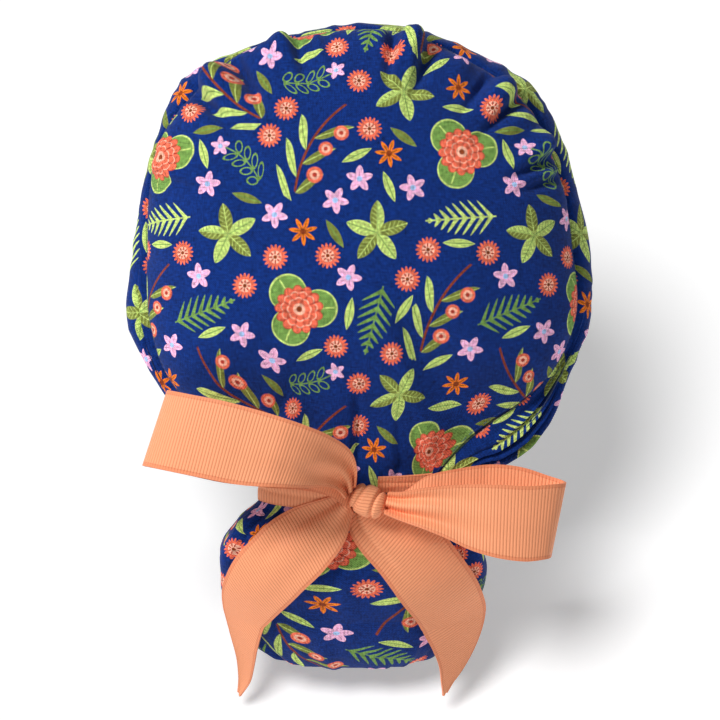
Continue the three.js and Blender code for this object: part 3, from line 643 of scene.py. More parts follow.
def knot_surface(tilt, turn):
    """centre + (side w cos tilt + up h r f cos turn + front d r f sin turn) / 2, with r = sin(tilt)^0.45.

    f = 1 less two grooves along the wrap, at the tilts 1.05 + 0.2 sin turn and 2.2 - 0.15 cos turn. Both
    angles are in radians.
    """
    near_groove = 0.2 * bell(tilt - 1.05 - 0.2 * np.sin(turn), 0.11)
    far_groove = 0.16 * bell(tilt - 2.2 + 0.15 * np.cos(turn), 0.13)
    fat = 1.04 - (near_groove + far_groove) + 0.04 * np.cos(2 * turn + tilt)
    rounded = np.maximum(np.sin(tilt), 0) ** 0.45
    skew = turn + 0.35 * (tilt - math.pi / 2)
    return (KNOT_CENTRE + KNOT_SIDE * (1.05 * KNOT_WIDTH / 2 * np.cos(tilt))[..., None]
            + KNOT_UP * (KNOT_HEIGHT / 2 * rounded * fat * np.cos(skew))[..., None]
            + KNOT_FRONT * (KNOT_DEPTH / 2 * rounded * fat * np.sin(skew))[..., None])


def strap_surface(side, row, column):
    """A stretch of the neck ring at the strap's standoff, with one lengthwise crease."""
    sewn = -NECK_SEAM_LEFT - STRAP_SEWN_LEFT if side < 0 else NECK_SEAM_RIGHT - STRAP_SEWN_RIGHT
    inner = math.degrees(math.asin(KNOT_WIDTH / NECK_WIDTH))
    turn = mix(sewn, inner, row)
    crease = -0.5 * bell(column - 0.45 + 0.1 * row, 0.07) + 0.35 * bell(column - 0.62, 0.12)
    raised = 1 if side > 0 else 0
    half = STRAP_HEIGHT / 2 * (1 - RIGHT_STRAP_NARROWED * raised)
    lift = STRAP_STANDOFF + RIBBON_WALL / 2 + np.maximum(crease, -0.4) + raised * (0.6 + 2 * (1 - column))
    return neck_point(side * turn, (column * 2 - 1) * half * side - RIGHT_STRAP_RISE * raised, lift)


def loop_ground(start, rows, side, length, place):
    """The height that a loop lies over at one place: the highest cloth across the ribbon's width."""
    heights = []
    for step in (-LOOP_EVENED_OVER, 0, LOOP_EVENED_OVER):
        reach = open_table(rows, place + step, "reach")
        x = start[0] + side * reach * length
        y = start[1] + open_table(rows, place + step, "rise") * length
        half = RIBBON_WIDTH * open_table(rows, place + step, "full")
        high = np.max([cloth_height(x, y + edge * half) for edge in (-0.5, 0, 0.5)], axis=0)
        above = np.maximum(high + GATHER_RISE * 0.7, start[2] - 3)
        heights.append(mix(start[2], above, smooth(reach, 0, 0.3)))
    return sum(heights) / 3


def loop_surface(rows, side, length, row, column):
    """start + (reach, rise) length + across the lean, at ground + proud puff, creased near the knot."""
    start = KNOT_CENTRE + ACROSS * side * (KNOT_WIDTH / 2 + CLEARANCE * 2)
    full = open_table(rows, row, "full")
    lean = open_table(rows, row, "lean")
    half = RIBBON_WIDTH / 2 * full * (column * 2 - 1)
    x = start[0] + side * open_table(rows, row, "reach") * length + half * sine(lean)
    y = start[1] + open_table(rows, row, "rise") * length + half * cosine(lean)
    drawn = 1 - full
    front = 1 - smooth(row, 0.45, 0.6)
    crease = drawn * front * (3.2 * np.cos(column * 4 * math.pi) - 3.5 * bell(column - 0.35, 0.16))
    crease = crease + 0.9 * np.sin(column * math.pi) * smooth(full, 0.6, 1) * front
    ground = loop_ground(start, rows, side, length, row[:, :1])
    return point(x, y, ground + open_table(rows, row, "proud") * LOOP_PUFF + crease)


def tail_point(x, fall, out):
    """A place on what a tail hangs over: the neck and the pouch down to its fullest part, then plumb.

    down is the softened lesser of fall / length and the share where the tail leaves the pouch, and the
    pouch's round sqrt(1 - x^2) is softened past its sides in the same way.
    """
    share = fall / POUCH_LENGTH
    apart = np.sqrt((share - TAIL_LEAVES) ** 2 + TAIL_LEAVES_SOFTLY)
    down = np.maximum((share + TAIL_LEAVES - apart) / 2, 0)
    middle, outward, half_width, half_depth, shift = pouch_frame(down)
    over = 1 - ((x - shift) / half_width) ** 2
    curve = np.sqrt((over + np.sqrt(over ** 2 + TAIL_EDGE_SOFTNESS)) / 2)
    return (middle + PLUMB * np.maximum(fall - down * POUCH_LENGTH, 0)[..., None] + ACROSS * x[..., None]
            + outward * (half_depth * curve + out)[..., None])


def tail_surface(rows, side, length, row, column):
    """tail_point at (side, fall) length + across the lean, creased where the knot draws it in."""
    full = open_table(rows, row, "full")
    lean = open_table(rows, row, "lean")
    half = RIBBON_WIDTH / 2 * full * (column * 2 - 1)
    x = KNOT_CENTRE[0] + side * open_table(rows, row, "side") * length + half * cosine(lean)
    fall = KNOT_HEIGHT / 2 - 1 + open_table(rows, row, "fall") * length - half * sine(lean) * side
    drawn = (1 - full) * (1 - smooth(row, 0.3, 0.55))
    crease = drawn * (1.2 + 1.2 * np.cos(column * 4 * math.pi))
    curl = 0.9 * (column * 2 - 1) ** 2 * smooth(row, 0.25, 0.6)
    near = 1 - smooth(row, 0.12, 0.42)
    back = column if side < 0 else 1.35 * column
    crease = crease + near * (1.2 - 3.4 * (1 - smooth(back, 0.24, 0.4)))
    out = STRAP_STANDOFF + RIBBON_WALL * 1.5 + CLEARANCE + POUCH_FOLD_DEPTH * row * 0.3 + curl * 0.6
    out = out + np.maximum(crease, -STRAP_STANDOFF)
    return tail_point(x, fall, out)


def seat_offset():
    """Where the top of a level head touches inside the crown, in the tilted frame."""
    seat = dome_point(np.array([SEAT_SHARE]), np.array([90.0]))[0] - point(0, 0, CLOTH_WALL)
    return tilted(seat)


def tilted(points):
    """The crown's frame turned about x by the crown's tilt."""
    turn = math.radians(CROWN_TILT)
    y, z = points[..., 1], points[..., 2]
    return point(points[..., 0], y * math.cos(turn) - z * math.sin(turn),
                 y * math.sin(turn) + z * math.cos(turn))


def place_in_world(points):
    """The tilted frame with the head seat at its origin, in metres."""
    return (tilted(points) - seat_offset()) / 1000


def grid_faces(index):
    """The outer faces on a grid of vertex numbers, as grid corners: squares, and triangles at poles."""
    rows, columns = index.shape
    corner = np.arange(rows * columns).reshape(rows, columns)
    square = np.stack([corner[:-1, :-1], corner[1:, :-1], corner[1:, 1:], corner[:-1, 1:]], axis=-1)
    groups = []
    first, last = 0, rows - 1
    if index[0, 0] == index[0, 1]:
        groups.append(square[0][:, [0, 1, 2]])
        first = 1
    if index[-1, 0] == index[-1, 1]:
        groups.append(square[-1][:, [0, 1, 3]])
        last = rows - 2
    groups.append(square[first:last].reshape(-1, 4))
    return groups


def open_edges(index, wrap):
    """The edges where a grid ends, as pairs of grid corners that run the way its faces do."""
    rows, columns = index.shape
    corner = np.arange(rows * columns).reshape(rows, columns)
    edges = [np.zeros((0, 2), int)]
    if index[0, 0] != index[0, 1]:
        edges.append(np.stack([corner[0, 1:], corner[0, :-1]], axis=-1))
    if index[-1, 0] != index[-1, 1]:
        edges.append(np.stack([corner[-1, :-1], corner[-1, 1:]], axis=-1))
    if not wrap:
        edges.append(np.stack([corner[:-1, 0], corner[1:, 0]], axis=-1))
        edges.append(np.stack([corner[1:, -1], corner[:-1, -1]], axis=-1))
    return np.concatenate(edges)


def skin(name, material, grid, threads, wall, wrap=False, centred=False, stitch=None, printed=False):
    """A piece on a grid of outer points: outside = grid, inside = outside - normal wall, closed by a rim.

    threads and stitch are flat coordinates in millimetres at the grid's corners. Without a wall the grid
    closes in itself.
    """
    rows, columns = grid.shape[:2]
    total = rows * columns
    index = np.arange(total).reshape(rows, columns)
    if wrap:
        index[:, -1] = index[:, 0]
    for row in (0, rows - 1):
        if np.ptp(grid[row], axis=0).max() < 1e-6:
            index[row] = index[row, 0]
    down, along = np.gradient(grid, axis=0), np.gradient(grid, axis=1)
    if wrap:
        along[:, 0] = along[:, -1] = grid[:, 1] - grid[:, -2]
    normal = unit(np.cross(down, along))
    for row, near in ((0, 1), (rows - 1, rows - 2)):
        if index[row, 0] == index[row, 1]:
            normal[row] = unit(normal[near].mean(axis=0))
    outside = grid + normal * (wall / 2 if centred else 0)
    groups = grid_faces(index)
    outer_corners = sum(group.size for group in groups)
    if wall:
        inside = outside - normal * wall
        edge = open_edges(index, wrap)
        groups += [group[:, ::-1] + total for group in groups]
        groups.append(np.stack([edge[:, 1], edge[:, 0], edge[:, 0] + total, edge[:, 1] + total], axis=-1))
        points = np.concatenate([outside.reshape(-1, 3), inside.reshape(-1, 3)])
        merged = np.concatenate([index.ravel(), index.ravel() + total])
    else:
        points, merged = outside.reshape(-1, 3), index.ravel()
    corners = np.concatenate([group.ravel() for group in groups])
    sizes = np.concatenate([np.full(len(group), group.shape[1]) for group in groups])
    used, vertices = np.unique(merged[corners], return_inverse=True)
    mesh = bpy.data.meshes.new(name)
    mesh.vertices.add(len(used))
    mesh.vertices.foreach_set("co", place_in_world(points[used]).astype(np.float32).ravel())
    mesh.loops.add(len(corners))
    mesh.loops.foreach_set("vertex_index", vertices.astype(np.int32).ravel())
    mesh.polygons.add(len(sizes))
    mesh.polygons.foreach_set("loop_start", (np.cumsum(sizes) - sizes).astype(np.int32))
    mesh.update(calc_edges=True)
    mesh.validate()
    mesh.shade_smooth()
    mesh.set_sharp_from_angle(angle=math.radians(70))

    def corner_map(title, values):
        layer = mesh.uv_layers.new(name=title)
        layer.data.foreach_set("uv", np.ascontiguousarray(values, dtype=np.float32).ravel())

    flat = threads.reshape(-1, 2)[corners % total]
    back = (np.arange(len(corners)) >= outer_corners).astype(float) if wall else np.zeros(len(corners))
    corner_map("threads", flat / 1000)
    corner_map("sides", np.stack([back, back * 0], axis=1))
    if stitch is not None:
        corner_map("stitch", stitch.reshape(-1, 2)[corners % total] / 1000)
    if printed:
        local, marks = motif_maps(flat, sizes)
        corner_map("print", local)
        corner_map("motif", marks)
    mesh.materials.append(material)
    piece = bpy.data.objects.new(name, mesh)
    bpy.context.scene.collection.objects.link(piece)
    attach(piece, "root")
    return piece


# The print's motifs: kind is the painter's number, size the reach in millimetres from the middle, slender
# the share of the size that is a straight spine and count how many the repeat holds.
BLOOM, BRANCH, FERN, ASTER, BLOSSOM, DAISY, LEAF, CLUSTER, SPRIG = range(9)
MOTIFS = table(
    "kind size slender count",
    (BLOOM, 19, 0, 2), (BRANCH, 26, 0.5, 3), (CLUSTER, 15.5, 0, 3), (FERN, 18, 0.6, 3),
    (SPRIG, 17, 0.55, 2), (DAISY, 7, 0, 3), (BLOSSOM, 6.6, 0, 10), (ASTER, 6.2, 0, 13), (LEAF, 8, 0.65, 15),
)
MOTIF_SEED = 5
MOTIF_TRIES = 700
MOTIF_PARTS = 12
KIND_SCALE = 10


def motif_distance(place, motifs, repeat):
    """Distance from each place to each motif's spine, less its reach off it, round a repeat that tiles."""
    offset = np.mod(place[:, None, :] - motifs["middle"][None] + repeat / 2, repeat) - repeat / 2
    turn = motifs["turn"][None]
    x = offset[..., 0] * np.cos(turn) + offset[..., 1] * np.sin(turn)
    y = offset[..., 1] * np.cos(turn) - offset[..., 0] * np.sin(turn)
    spine = motifs["size"] * motifs["slender"]
    reach = np.hypot(x - np.clip(x, -spine, spine), y) - (motifs["size"] - spine)
    return reach, x, y


def lay_out_motifs(repeat):
    """Places the motifs largest first, each where it is furthest from those already there."""
    random = np.random.default_rng(MOTIF_SEED)
    laid = {"middle": np.zeros((0, 2)), "turn": np.zeros(0), "size": np.zeros(0), "slender": np.zeros(0),
            "kind": np.zeros(0), "tone": np.zeros(0)}
    for i in range(len(MOTIFS["kind"])):
        for _ in range(int(MOTIFS["count"][i])):
            middle = random.uniform(0, repeat, (MOTIF_TRIES, 2))
            turn = random.uniform(0, 2 * math.pi, MOTIF_TRIES)
            size, slender = MOTIFS["size"][i], MOTIFS["slender"][i]
            best = 0
            if len(laid["turn"]):
                spine = size * slender
                room = np.full(MOTIF_TRIES, np.inf)
                for along in (-1, -0.5, 0, 0.5, 1):
                    step = spine * along * np.stack([np.cos(turn), np.sin(turn)], axis=1)
                    reach = motif_distance(middle + step, laid, repeat)[0].min(axis=1)
                    room = np.minimum(room, reach - (size - spine))
                best = int(room.argmax())
            laid["middle"] = np.concatenate([laid["middle"], middle[best:best + 1]])
            for key, value in (("turn", turn[best]), ("size", size), ("slender", slender),
                               ("kind", MOTIFS["kind"][i]), ("tone", random.random())):
                laid[key] = np.append(laid[key], value)
    return laid


def motif_maps(flat, sizes):
    """For each face, the nearest motif's own coordinates at its corners, and that motif's kind and tone."""
    repeat = bpy.context.scene.scrub_cap_cloth.repeat * 1000
    motifs = lay_out_motifs(repeat)
    starts = np.cumsum(sizes) - sizes
    middle = np.add.reduceat(flat, starts, axis=0) / sizes[:, None]
    nearest = np.concatenate([motif_distance(part, motifs, repeat)[0].argmin(axis=1)
                              for part in np.array_split(middle, MOTIF_PARTS)])
    chosen = np.repeat(nearest, sizes)
    centre = np.repeat(middle, sizes, axis=0)
    offset = np.mod(centre - motifs["middle"][chosen] + repeat / 2, repeat) - repeat / 2 + flat - centre
    turn = motifs["turn"][chosen]
    x = offset[:, 0] * np.cos(turn) + offset[:, 1] * np.sin(turn)
    y = offset[:, 1] * np.cos(turn) - offset[:, 0] * np.sin(turn)
    local = np.stack([x, y], axis=1) / motifs["size"][chosen][:, None]
    return local, np.stack([motifs["kind"][chosen] / KIND_SCALE, motifs["tone"][chosen]], axis=1)


def linear(red, green, blue):
    """A colour given as 0 to 255 in sRGB, in linear light."""
    share = np.array([red, green, blue]) / 255
    return tuple(np.where(share <= 0.04045, share / 12.92, ((share + 0.055) / 1.055) ** 2.4).tolist())


class Value:
    """A number that varies over a surface, so that shader maths can be written as Python expressions."""

    def __init__(self, shader, socket):
        self.shader = shader
        self.socket = socket

    def math(self, operation, *others, clamped=False):
        """One Math node that takes this value first and then the others."""
        inputs = dict(enumerate((self,) + others))
        made = self.shader.node("ShaderNodeMath", {"operation": operation, "use_clamp": clamped}, inputs)
        return Value(self.shader, made.outputs[0])

    def __add__(self, other):
        return self.math("ADD", other)

    def __sub__(self, other):
        return self.math("SUBTRACT", other)

    def __rsub__(self, other):
        made = self.shader.node("ShaderNodeMath", {"operation": "SUBTRACT"}, {0: other, 1: self})
        return Value(self.shader, made.outputs[0])

    def __mul__(self, other):
        return self.math("MULTIPLY", other)

    __radd__ = __add__
    __rmul__ = __mul__

    def __truediv__(self, other):
        return self.math("DIVIDE", other)

    def __pow__(self, other):
        return self.math("POWER", other)

    def __abs__(self):
        return self.math("ABSOLUTE")


class Shader:
    """One material's nodes. Every node that isn't maths on a Value comes from its node method."""

    def __init__(self, name):
        self.material = bpy.data.materials.new(name)
        self.material.use_nodes = True
        self.tree = self.material.node_tree
        self.tree.nodes.clear()

    def node(self, kind, settings=None, inputs=None):
        """A node of a type, with its settings set first and then the values or links of its sockets."""
        made = self.tree.nodes.new(kind)
        for key, setting in (settings or {}).items():
            setattr(made, key, setting)
        for key, given in (inputs or {}).items():
            socket = made.inputs[key]
            if isinstance(given, Value):
                self.tree.links.new(given.socket, socket)
            elif isinstance(given, bpy.types.NodeSocket):
                self.tree.links.new(given, socket)
            elif isinstance(given, (tuple, list)) and len(given) == 3 and socket.type == "RGBA":
                socket.default_value = (*given, 1)
            else:
                socket.default_value = given
        return made

    def map(self, title):
        """The two numbers of one of the piece's UV maps."""
        uv = self.node("ShaderNodeUVMap", {"uv_map": title}).outputs[0]
        parts = self.node("ShaderNodeSeparateXYZ", None, {0: uv})
        return Value(self, parts.outputs[0]), Value(self, parts.outputs[1])

    def mixed(self, start, end, share):
        """The colour start where share is 0 and end where it is 1."""
        made = self.node("ShaderNodeMix", {"data_type": "RGBA"}, {0: share, 6: start, 7: end})
        return made.outputs[2]

    def scaled(self, colour, factor):
        """A colour times a number."""
        made = self.node("ShaderNodeVectorMath", {"operation": "SCALE"}, {0: colour, "Scale": factor})
        return made.outputs[0]

    def noise(self, x, y, scale_x, scale_y, detail=2.0):
        """Noise between 0 and 1 at (x scale_x, y scale_y)."""
        place = self.node("ShaderNodeCombineXYZ", None, {0: x * scale_x, 1: y * scale_y})
        made = self.node("ShaderNodeTexNoise", {"noise_dimensions": "2D"},
                         {"Vector": place.outputs[0], "Scale": 1.0, "Detail": detail})
        return Value(self, made.outputs[0])

    def finish(self, colour, roughness, height, distance, fixed):
        """Principled BSDF with a bump, and fixed numbers on its other sockets."""
        bump = self.node("ShaderNodeBump", None, {"Strength": 1.0, "Distance": distance, "Height": height})
        inputs = {"Base Color": colour, "Roughness": roughness, "Normal": bump.outputs[0], **fixed}
        surface = self.node("ShaderNodeBsdfPrincipled", None, inputs)
        self.node("ShaderNodeOutputMaterial", None, {0: surface.outputs[0]})
        return self.material


MOTIF_SHARPNESS = 45


def inside(depth):
    """1 where a depth in shares of the motif's size is above 0, with a thin soft edge."""
    return (depth * MOTIF_SHARPNESS).math("ADD", 0.5, clamped=True)


def fraction(value):
    """What is left of a value past the whole number below it."""
    return value.math("FRACT")


def distance(x, y):
    """sqrt(x^2 + y^2)."""
    return (x * x + y * y).math("SQRT")


def between(turn, count, phase):
    """2 |fract(turn count + phase) - 1/2|: 0 in the middle of a petal and 1 between two."""
    return abs(fraction(turn * count + phase) - 0.5) * 2


def petal(reach, away, count, start, end, half, power):
    """half (4 t (1 - t))^power - reach away pi / count - 0.012, with t from 0 at start to 1 at end."""
    t = ((reach - start) / (end - start)).math("ADD", 0.0, clamped=True)
    return half * (t * (1 - t) * 4) ** power - reach * away * (math.pi / count) - 0.012


class Printer:
    """Paints the motifs over the ground colour, each kind only on its own faces."""

    def __init__(self, shader, ground):
        self.shader = shader
        self.colour = ground
        self.x, self.y = shader.map("print")
        kind, self.tone = shader.map("motif")
        self.kind = kind * KIND_SCALE
        self.reach = distance(self.x, self.y)
        self.turn = self.y.math("ARCTAN2", self.x) / (2 * math.pi)
        self.here = None

    def begin(self, kind):
        """What is painted next shows only on the faces of this kind of motif."""
        self.here = self.kind.math("COMPARE", float(kind), 0.4)

    def paint(self, depth, colour, extra=None):
        """Lays a colour where a depth is above 0 and the extra mask, if there is one, is 1."""
        mask = inside(depth) * self.here
        if extra is not None:
            mask = mask * extra
        self.colour = self.shader.mixed(self.colour, colour, mask)


def paint_bloom(p, c):
    """Three broad leaves, and three rings of 13, 11 and 8 petals that step towards a brown middle."""
    p.begin(BLOOM)
    away = between(p.turn, 3, 0.1)
    leaf = 0.45 + 0.53 * (1 - away * away) - p.reach
    p.paint(leaf, c.lime)
    p.paint(leaf - 0.05, c.mid_green)
    p.paint(0.02 - p.reach * away, c.lime, inside(leaf - 0.09))
    for count, reach, rim in ((13, 0.62, 0), (11, 0.47, 0.03), (8, 0.31, 0.03)):
        away = between(p.turn, count, count / 7)
        depth = reach * (1 - 0.16 * away * away) - p.reach
        p.paint(depth, c.blush if rim else c.brick)
        p.paint(depth - max(rim, 0.02), c.coral)
        p.paint((away - 0.84) * 0.3, c.brick, inside(depth) * inside(p.reach - reach * 0.62))
    p.paint(0.15 - p.reach, c.blush)
    p.paint(0.07 - p.reach, c.brown)


def paint_branch(p, c):
    """A bent stem y = 0.1 - 0.22 x^2 with slanted leaf pairs, and three round fringed berries below it."""
    p.begin(BRANCH)
    off = p.y - (0.1 - 0.22 * p.x * p.x)
    high = abs(off)
    upper = off.math("GREATER_THAN", 0.0)
    cell = p.x * 1.9 - high * 2.3 + upper * 0.5
    slant = fraction(cell + 0.35) - 0.5
    leaf = 0.26 * (1 - ((high - 0.235) / 0.225) ** 2) - abs(slant)
    within = inside((1.5 - abs(cell + 0.85)) * 0.3)
    p.paint(leaf * 0.5, p.shader.mixed(c.olive, c.lime, upper), within)
    rib = p.shader.mixed(c.lime, c.mid_green, upper)
    p.paint(0.012 - abs(slant) * 0.5, rib, within * inside(leaf * 0.5))
    p.paint(0.022 - high, c.brown, inside(0.95 - abs(p.x)))
    for x, y, size in ((-0.5, -0.26, 0.15), (0.02, -0.2, 0.13), (0.42, -0.3, 0.14)):
        reach = distance(p.x - x, p.y - y)
        p.paint(size - reach, c.coral)
        p.paint(size * 0.62 - reach, c.blush)
        p.paint(size * 0.28 - reach, c.brick)


def paint_fern(p, c):
    """A straight spine with nine slanted leaflets a side, shortest at the tip."""
    p.begin(FERN)
    high = abs(p.y)
    reach = 0.46 * (1 - ((p.x + 0.2) / 1.15) ** 2) + 0.02
    cell = p.x * 4.2 - high * 3.4
    slant = fraction(cell) - 0.5
    leaflet = (0.3 * (1 - high / reach).math("MAXIMUM", 0.0) ** 0.5 - abs(slant)) * 0.24
    green = p.shader.mixed(c.mid_green, c.lime, p.tone.math("GREATER_THAN", 0.5))
    p.paint(leaflet, green, inside((4.0 - abs(cell)) * 0.3) * inside(reach - high))
    p.paint(0.02 - high, green, inside(0.97 - abs(p.x)))


def paint_aster(p, c):
    """A disc with a fringe of 17 short petals, a pale ring and a dark middle."""
    p.begin(ASTER)
    away = between(p.turn, 17, 0)
    p.paint(petal(p.reach, away, 17, 0.3, 1.0, 0.13, 0.5), c.coral)
    p.paint(0.66 - p.reach, c.coral)
    p.paint(0.5 - p.reach, c.blush)
    p.paint(petal(p.reach, between(p.turn, 8, 0.3), 8, 0.2, 0.5, 0.07, 0.5), c.brick)
    p.paint(0.14 - p.reach, c.brown)


def paint_blossom(p, c):
    """Five round petals, pink, with a pale blue middle."""
    p.begin(BLOSSOM)
    away = between(p.turn, 5, 0)
    depth = petal(p.reach, away, 5, 0.0, 1.0, 0.3, 0.6)
    p.paint(depth, c.pink)
    p.paint(0.018 - p.reach * away * 0.6, c.blossom_line, inside(depth) * inside(0.7 - p.reach))
    p.paint(0.2 - p.reach, c.pale_blue)


def paint_daisy(p, c):
    """Seven long orange petals with a dark middle."""
    p.begin(DAISY)
    away = between(p.turn, 7, 0)
    depth = petal(p.reach, away, 7, 0.05, 1.0, 0.17, 0.7)
    p.paint(depth, c.orange)
    p.paint(0.02 - p.reach * away * 0.4, c.brown, inside(0.6 - p.reach))
    p.paint(0.2 - p.reach, c.brown)


def paint_leaf(p, c):
    """One lens-shaped leaf with a darker rib."""
    p.begin(LEAF)
    green = p.shader.mixed(c.lime, c.olive, p.tone.math("GREATER_THAN", 0.75))
    depth = 0.27 * (1 - p.x * p.x) - abs(p.y)
    p.paint(depth, green)
    p.paint(0.028 - abs(p.y), c.mid_green, inside(depth - 0.05))


def paint_cluster(p, c):
    """Five broad pointed leaves, lime and olive in turn, with ribs and slanted veins."""
    p.begin(CLUSTER)
    away = between(p.turn, 5, 0)
    depth = petal(p.reach, away, 5, 0.0, 1.0, 0.24, 0.8)
    other = fraction((p.turn * 5).math("FLOOR") * 0.5).math("GREATER_THAN", 0.25)
    p.paint(depth, p.shader.mixed(c.lime, c.olive, other))
    vein = abs(fraction(p.reach * 7 - p.reach * away * 4) - 0.5)
    p.paint((0.07 - vein) * 0.1, p.shader.mixed(c.mid_green, c.lime, other), inside(depth - 0.03))
    p.paint(0.014 - p.reach * away * 0.6, p.shader.mixed(c.mid_green, c.lime, other), inside(depth))


def paint_sprig(p, c):
    """A curved stem with open oval leaves in outline, and a small pink flower at its tip."""
    p.begin(SPRIG)
    off = abs(p.y - (0.28 * p.x * p.x - 0.14))
    cell = p.x * 3.1 - off * 1.8
    slant = fraction(cell) - 0.5
    oval = ((slant / 0.34) ** 2 + ((off - 0.19) / 0.15) ** 2).math("SQRT")
    within = inside((2.0 - abs(cell + 1)) * 0.3)
    p.paint(0.028 - abs(oval - 1) * 0.16, c.mid_green, within)
    p.paint(0.02 - off, c.mid_green, inside(0.85 - abs(p.x)))
    away_x, away_y = p.x - 0.72, p.y - 0.02
    reach = distance(away_x, away_y)
    turn = away_y.math("ARCTAN2", away_x) / (2 * math.pi)
    p.paint(petal(reach, between(turn, 5, 0.2), 5, 0.0, 0.3, 0.1, 0.6), c.pink)
    p.paint(0.07 - reach, c.pale_blue)


PAINTERS = (paint_bloom, paint_branch, paint_fern, paint_aster, paint_blossom, paint_daisy, paint_leaf,
            paint_cluster, paint_sprig)


class Palette:
    """The print's colours, by their names in the panel."""

    def __init__(self, cloth):
        for key in ("lime", "olive", "mid_green", "coral", "brick", "blush", "pink", "blossom_line",
                    "pale_blue", "orange", "brown"):
            setattr(self, key, tuple(getattr(cloth, key)))


def cotton():
    """Plain-woven cotton: the print on its ground, slubs along both threads, a seam's stitches and a dark
    line of painted shade along the crown's seam.
    """
    cloth = bpy.context.scene.scrub_cap_cloth
    shader = Shader("woven_print")
    u, v = shader.map("threads")
    back = shader.map("sides")[0]
    along, off = shader.map("stitch")
    printer = Printer(shader, tuple(cloth.ground))
    palette = Palette(cloth)
    for painter in PAINTERS:
        painter(printer, palette)
    warp = shader.noise(u, v, 1500, 330)
    weft = shader.noise(u, v, 300, 1400)
    patch = shader.noise(u, v, 40, 40)
    pitch = 2 * math.pi / cloth.weave
    weave = (u * pitch).math("SINE") * (v * pitch).math("SINE")
    lit = -0.4 + 1.25 * warp + 1.25 * weft + 0.3 * patch + 0.3 * weave
    colour = shader.scaled(printer.colour, lit.math("MAXIMUM", 0.3))
    colour = shader.mixed(colour, tuple(cloth.reverse), back * 0.7)
    on_line = inside((THREAD_HALF_WIDTH / 1000 - abs(off - STITCH_OFF_SEAM / 1000)) * STITCH_SHARPNESS)
    on_stitch = (fraction(along / (STITCH_PITCH / 1000)) - STITCH_SHARE).math("LESS_THAN", 0.0)
    stitched = on_line * on_stitch
    # A dark line of painted shade on both sides of the crown's seam, where the crown's edge meets the band
    seam_shade = inside((SEAM_SHADE_WIDTH / 1000 - abs(off)) * STITCH_SHARPNESS)
    colour = shader.mixed(colour, tuple(cloth.thread), stitched * 0.6)
    colour = shader.mixed(colour, tuple(cloth.shade), seam_shade * 0.85)
    height = 0.35 * weave + 0.8 * warp + 0.8 * weft + 0.8 * stitched
    return shader.finish(colour, 0.82 + 0.1 * warp, height, 0.00016, {
        "Specular IOR Level": 0.1, "Sheen Weight": 0.07, "Sheen Roughness": 0.5})


def grosgrain():
    """Ribbed ribbon: ribs |sin(pi v / pitch)| across the width, flatter on the woven edges, with painted
    shade in the furrows between ribs and in the groove near each edge.
    """
    ribbon = bpy.context.scene.scrub_cap_ribbon
    shader = Shader("ribbed_ribbon")
    u, v = shader.map("threads")
    edge = RIBBON_WIDTH / 2000 - abs(u)
    rib = abs((v * (math.pi / ribbon.rib_pitch)).math("SINE"))
    middle = ((edge - WOVEN_EDGE / 1000) * 2500).math("ADD", 0.5, clamped=True)
    shaded_groove = 1 - (abs(edge - EDGE_GROOVE / 1000) * 2200).math("ADD", 0.0, clamped=True)
    fleck = shader.noise(u, v, 500, 3200)
    shade = (rib ** 0.5) * (0.4 + 0.6 * middle)
    raised = (0.35 + 0.75 * shade).math("MINIMUM", 1.0)
    # The rib tops keep the ribbon's colour, and the furrow colour between them is painted shade
    colour = shader.mixed(tuple(ribbon.furrow_shade), tuple(ribbon.colour), raised)
    colour = shader.scaled(colour, 0.93 + 0.12 * fleck)
    # Painted shade in the groove near each woven edge
    colour = shader.mixed(colour, tuple(ribbon.furrow_shade), shaded_groove * 0.55)
    height = shade - 0.5 * shaded_groove + 0.1 * fleck
    return shader.finish(colour, 0.5 + 0.15 * fleck, height, ribbon.rib_pitch * 0.16, {
        "Specular IOR Level": 0.3, "Sheen Weight": 0.08, "Sheen Roughness": 0.35})


def paper():
    """A pale matt floor with hardly visible mottling."""
    stage = bpy.context.scene.scrub_cap_stage
    shader = Shader("pale_floor")
    place = shader.node("ShaderNodeTexCoord").outputs["Object"]
    parts = shader.node("ShaderNodeSeparateXYZ", None, {0: place})
    mottle = shader.noise(Value(shader, parts.outputs[0]), Value(shader, parts.outputs[1]), 6, 6)
    colour = shader.scaled(tuple(stage.floor), 0.98 + 0.03 * mottle)
    return shader.finish(colour, 0.9 + 0.05 * mottle, mottle, 0.0005, {
        "Specular IOR Level": 0.2, "Emission Color": (1, 1, 1, 1), "Emission Strength": FLOOR_GLOW})


def arc_lengths(grid, axis):
    """Running length along one direction of a grid, from its first row or column."""
    step = lengths(np.diff(grid, axis=axis))
    shape = list(step.shape)
    shape[axis] = 1
    return np.concatenate([np.zeros(shape), np.cumsum(step, axis=axis)], axis=axis)


def even_grid(rows, columns):
    """Two grids of shares from 0 to 1, down the rows and along the columns."""
    return np.meshgrid(np.linspace(0, 1, rows + 1), np.linspace(0, 1, columns + 1), indexing="ij")


def material(name, maker):
    """The named material, made the first time that it is asked for."""
    return bpy.data.materials.get(name) or maker()


def make_crown():
    """The crown on a grid that is closest at the seam and in front, with its cloth laid out by arc length."""
    row, column = even_grid(112, 396)
    turn = (column - 0.5) * 360
    angle = 90 + turn - np.degrees(0.25 * sine(turn))
    share = 1 - (1 - row) ** 1.5
    grid = crown_surface(share, angle)
    grid[0] = grid[0, 0]
    arc = arc_lengths(dome_point(share, angle), 0)
    past_tuck = smooth(share * cosine(angle) + 0.03, -0.008, 0.008)
    taken_in = TUCKED_CLOTH * past_tuck * smooth(-share * sine(angle), 0.6, 0.8)
    threads = np.stack([arc * cosine(angle) + taken_in, arc * sine(angle)], axis=-1)
    stitch = np.stack([np.radians(angle) * CROWN_RADIUS, arc[-1:] - arc], axis=-1)
    piece = skin("crown_cloth", material("woven_print", cotton), grid, threads, CLOTH_WALL, wrap=True,
                 stitch=stitch, printed=True)
    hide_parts("crown_panel")


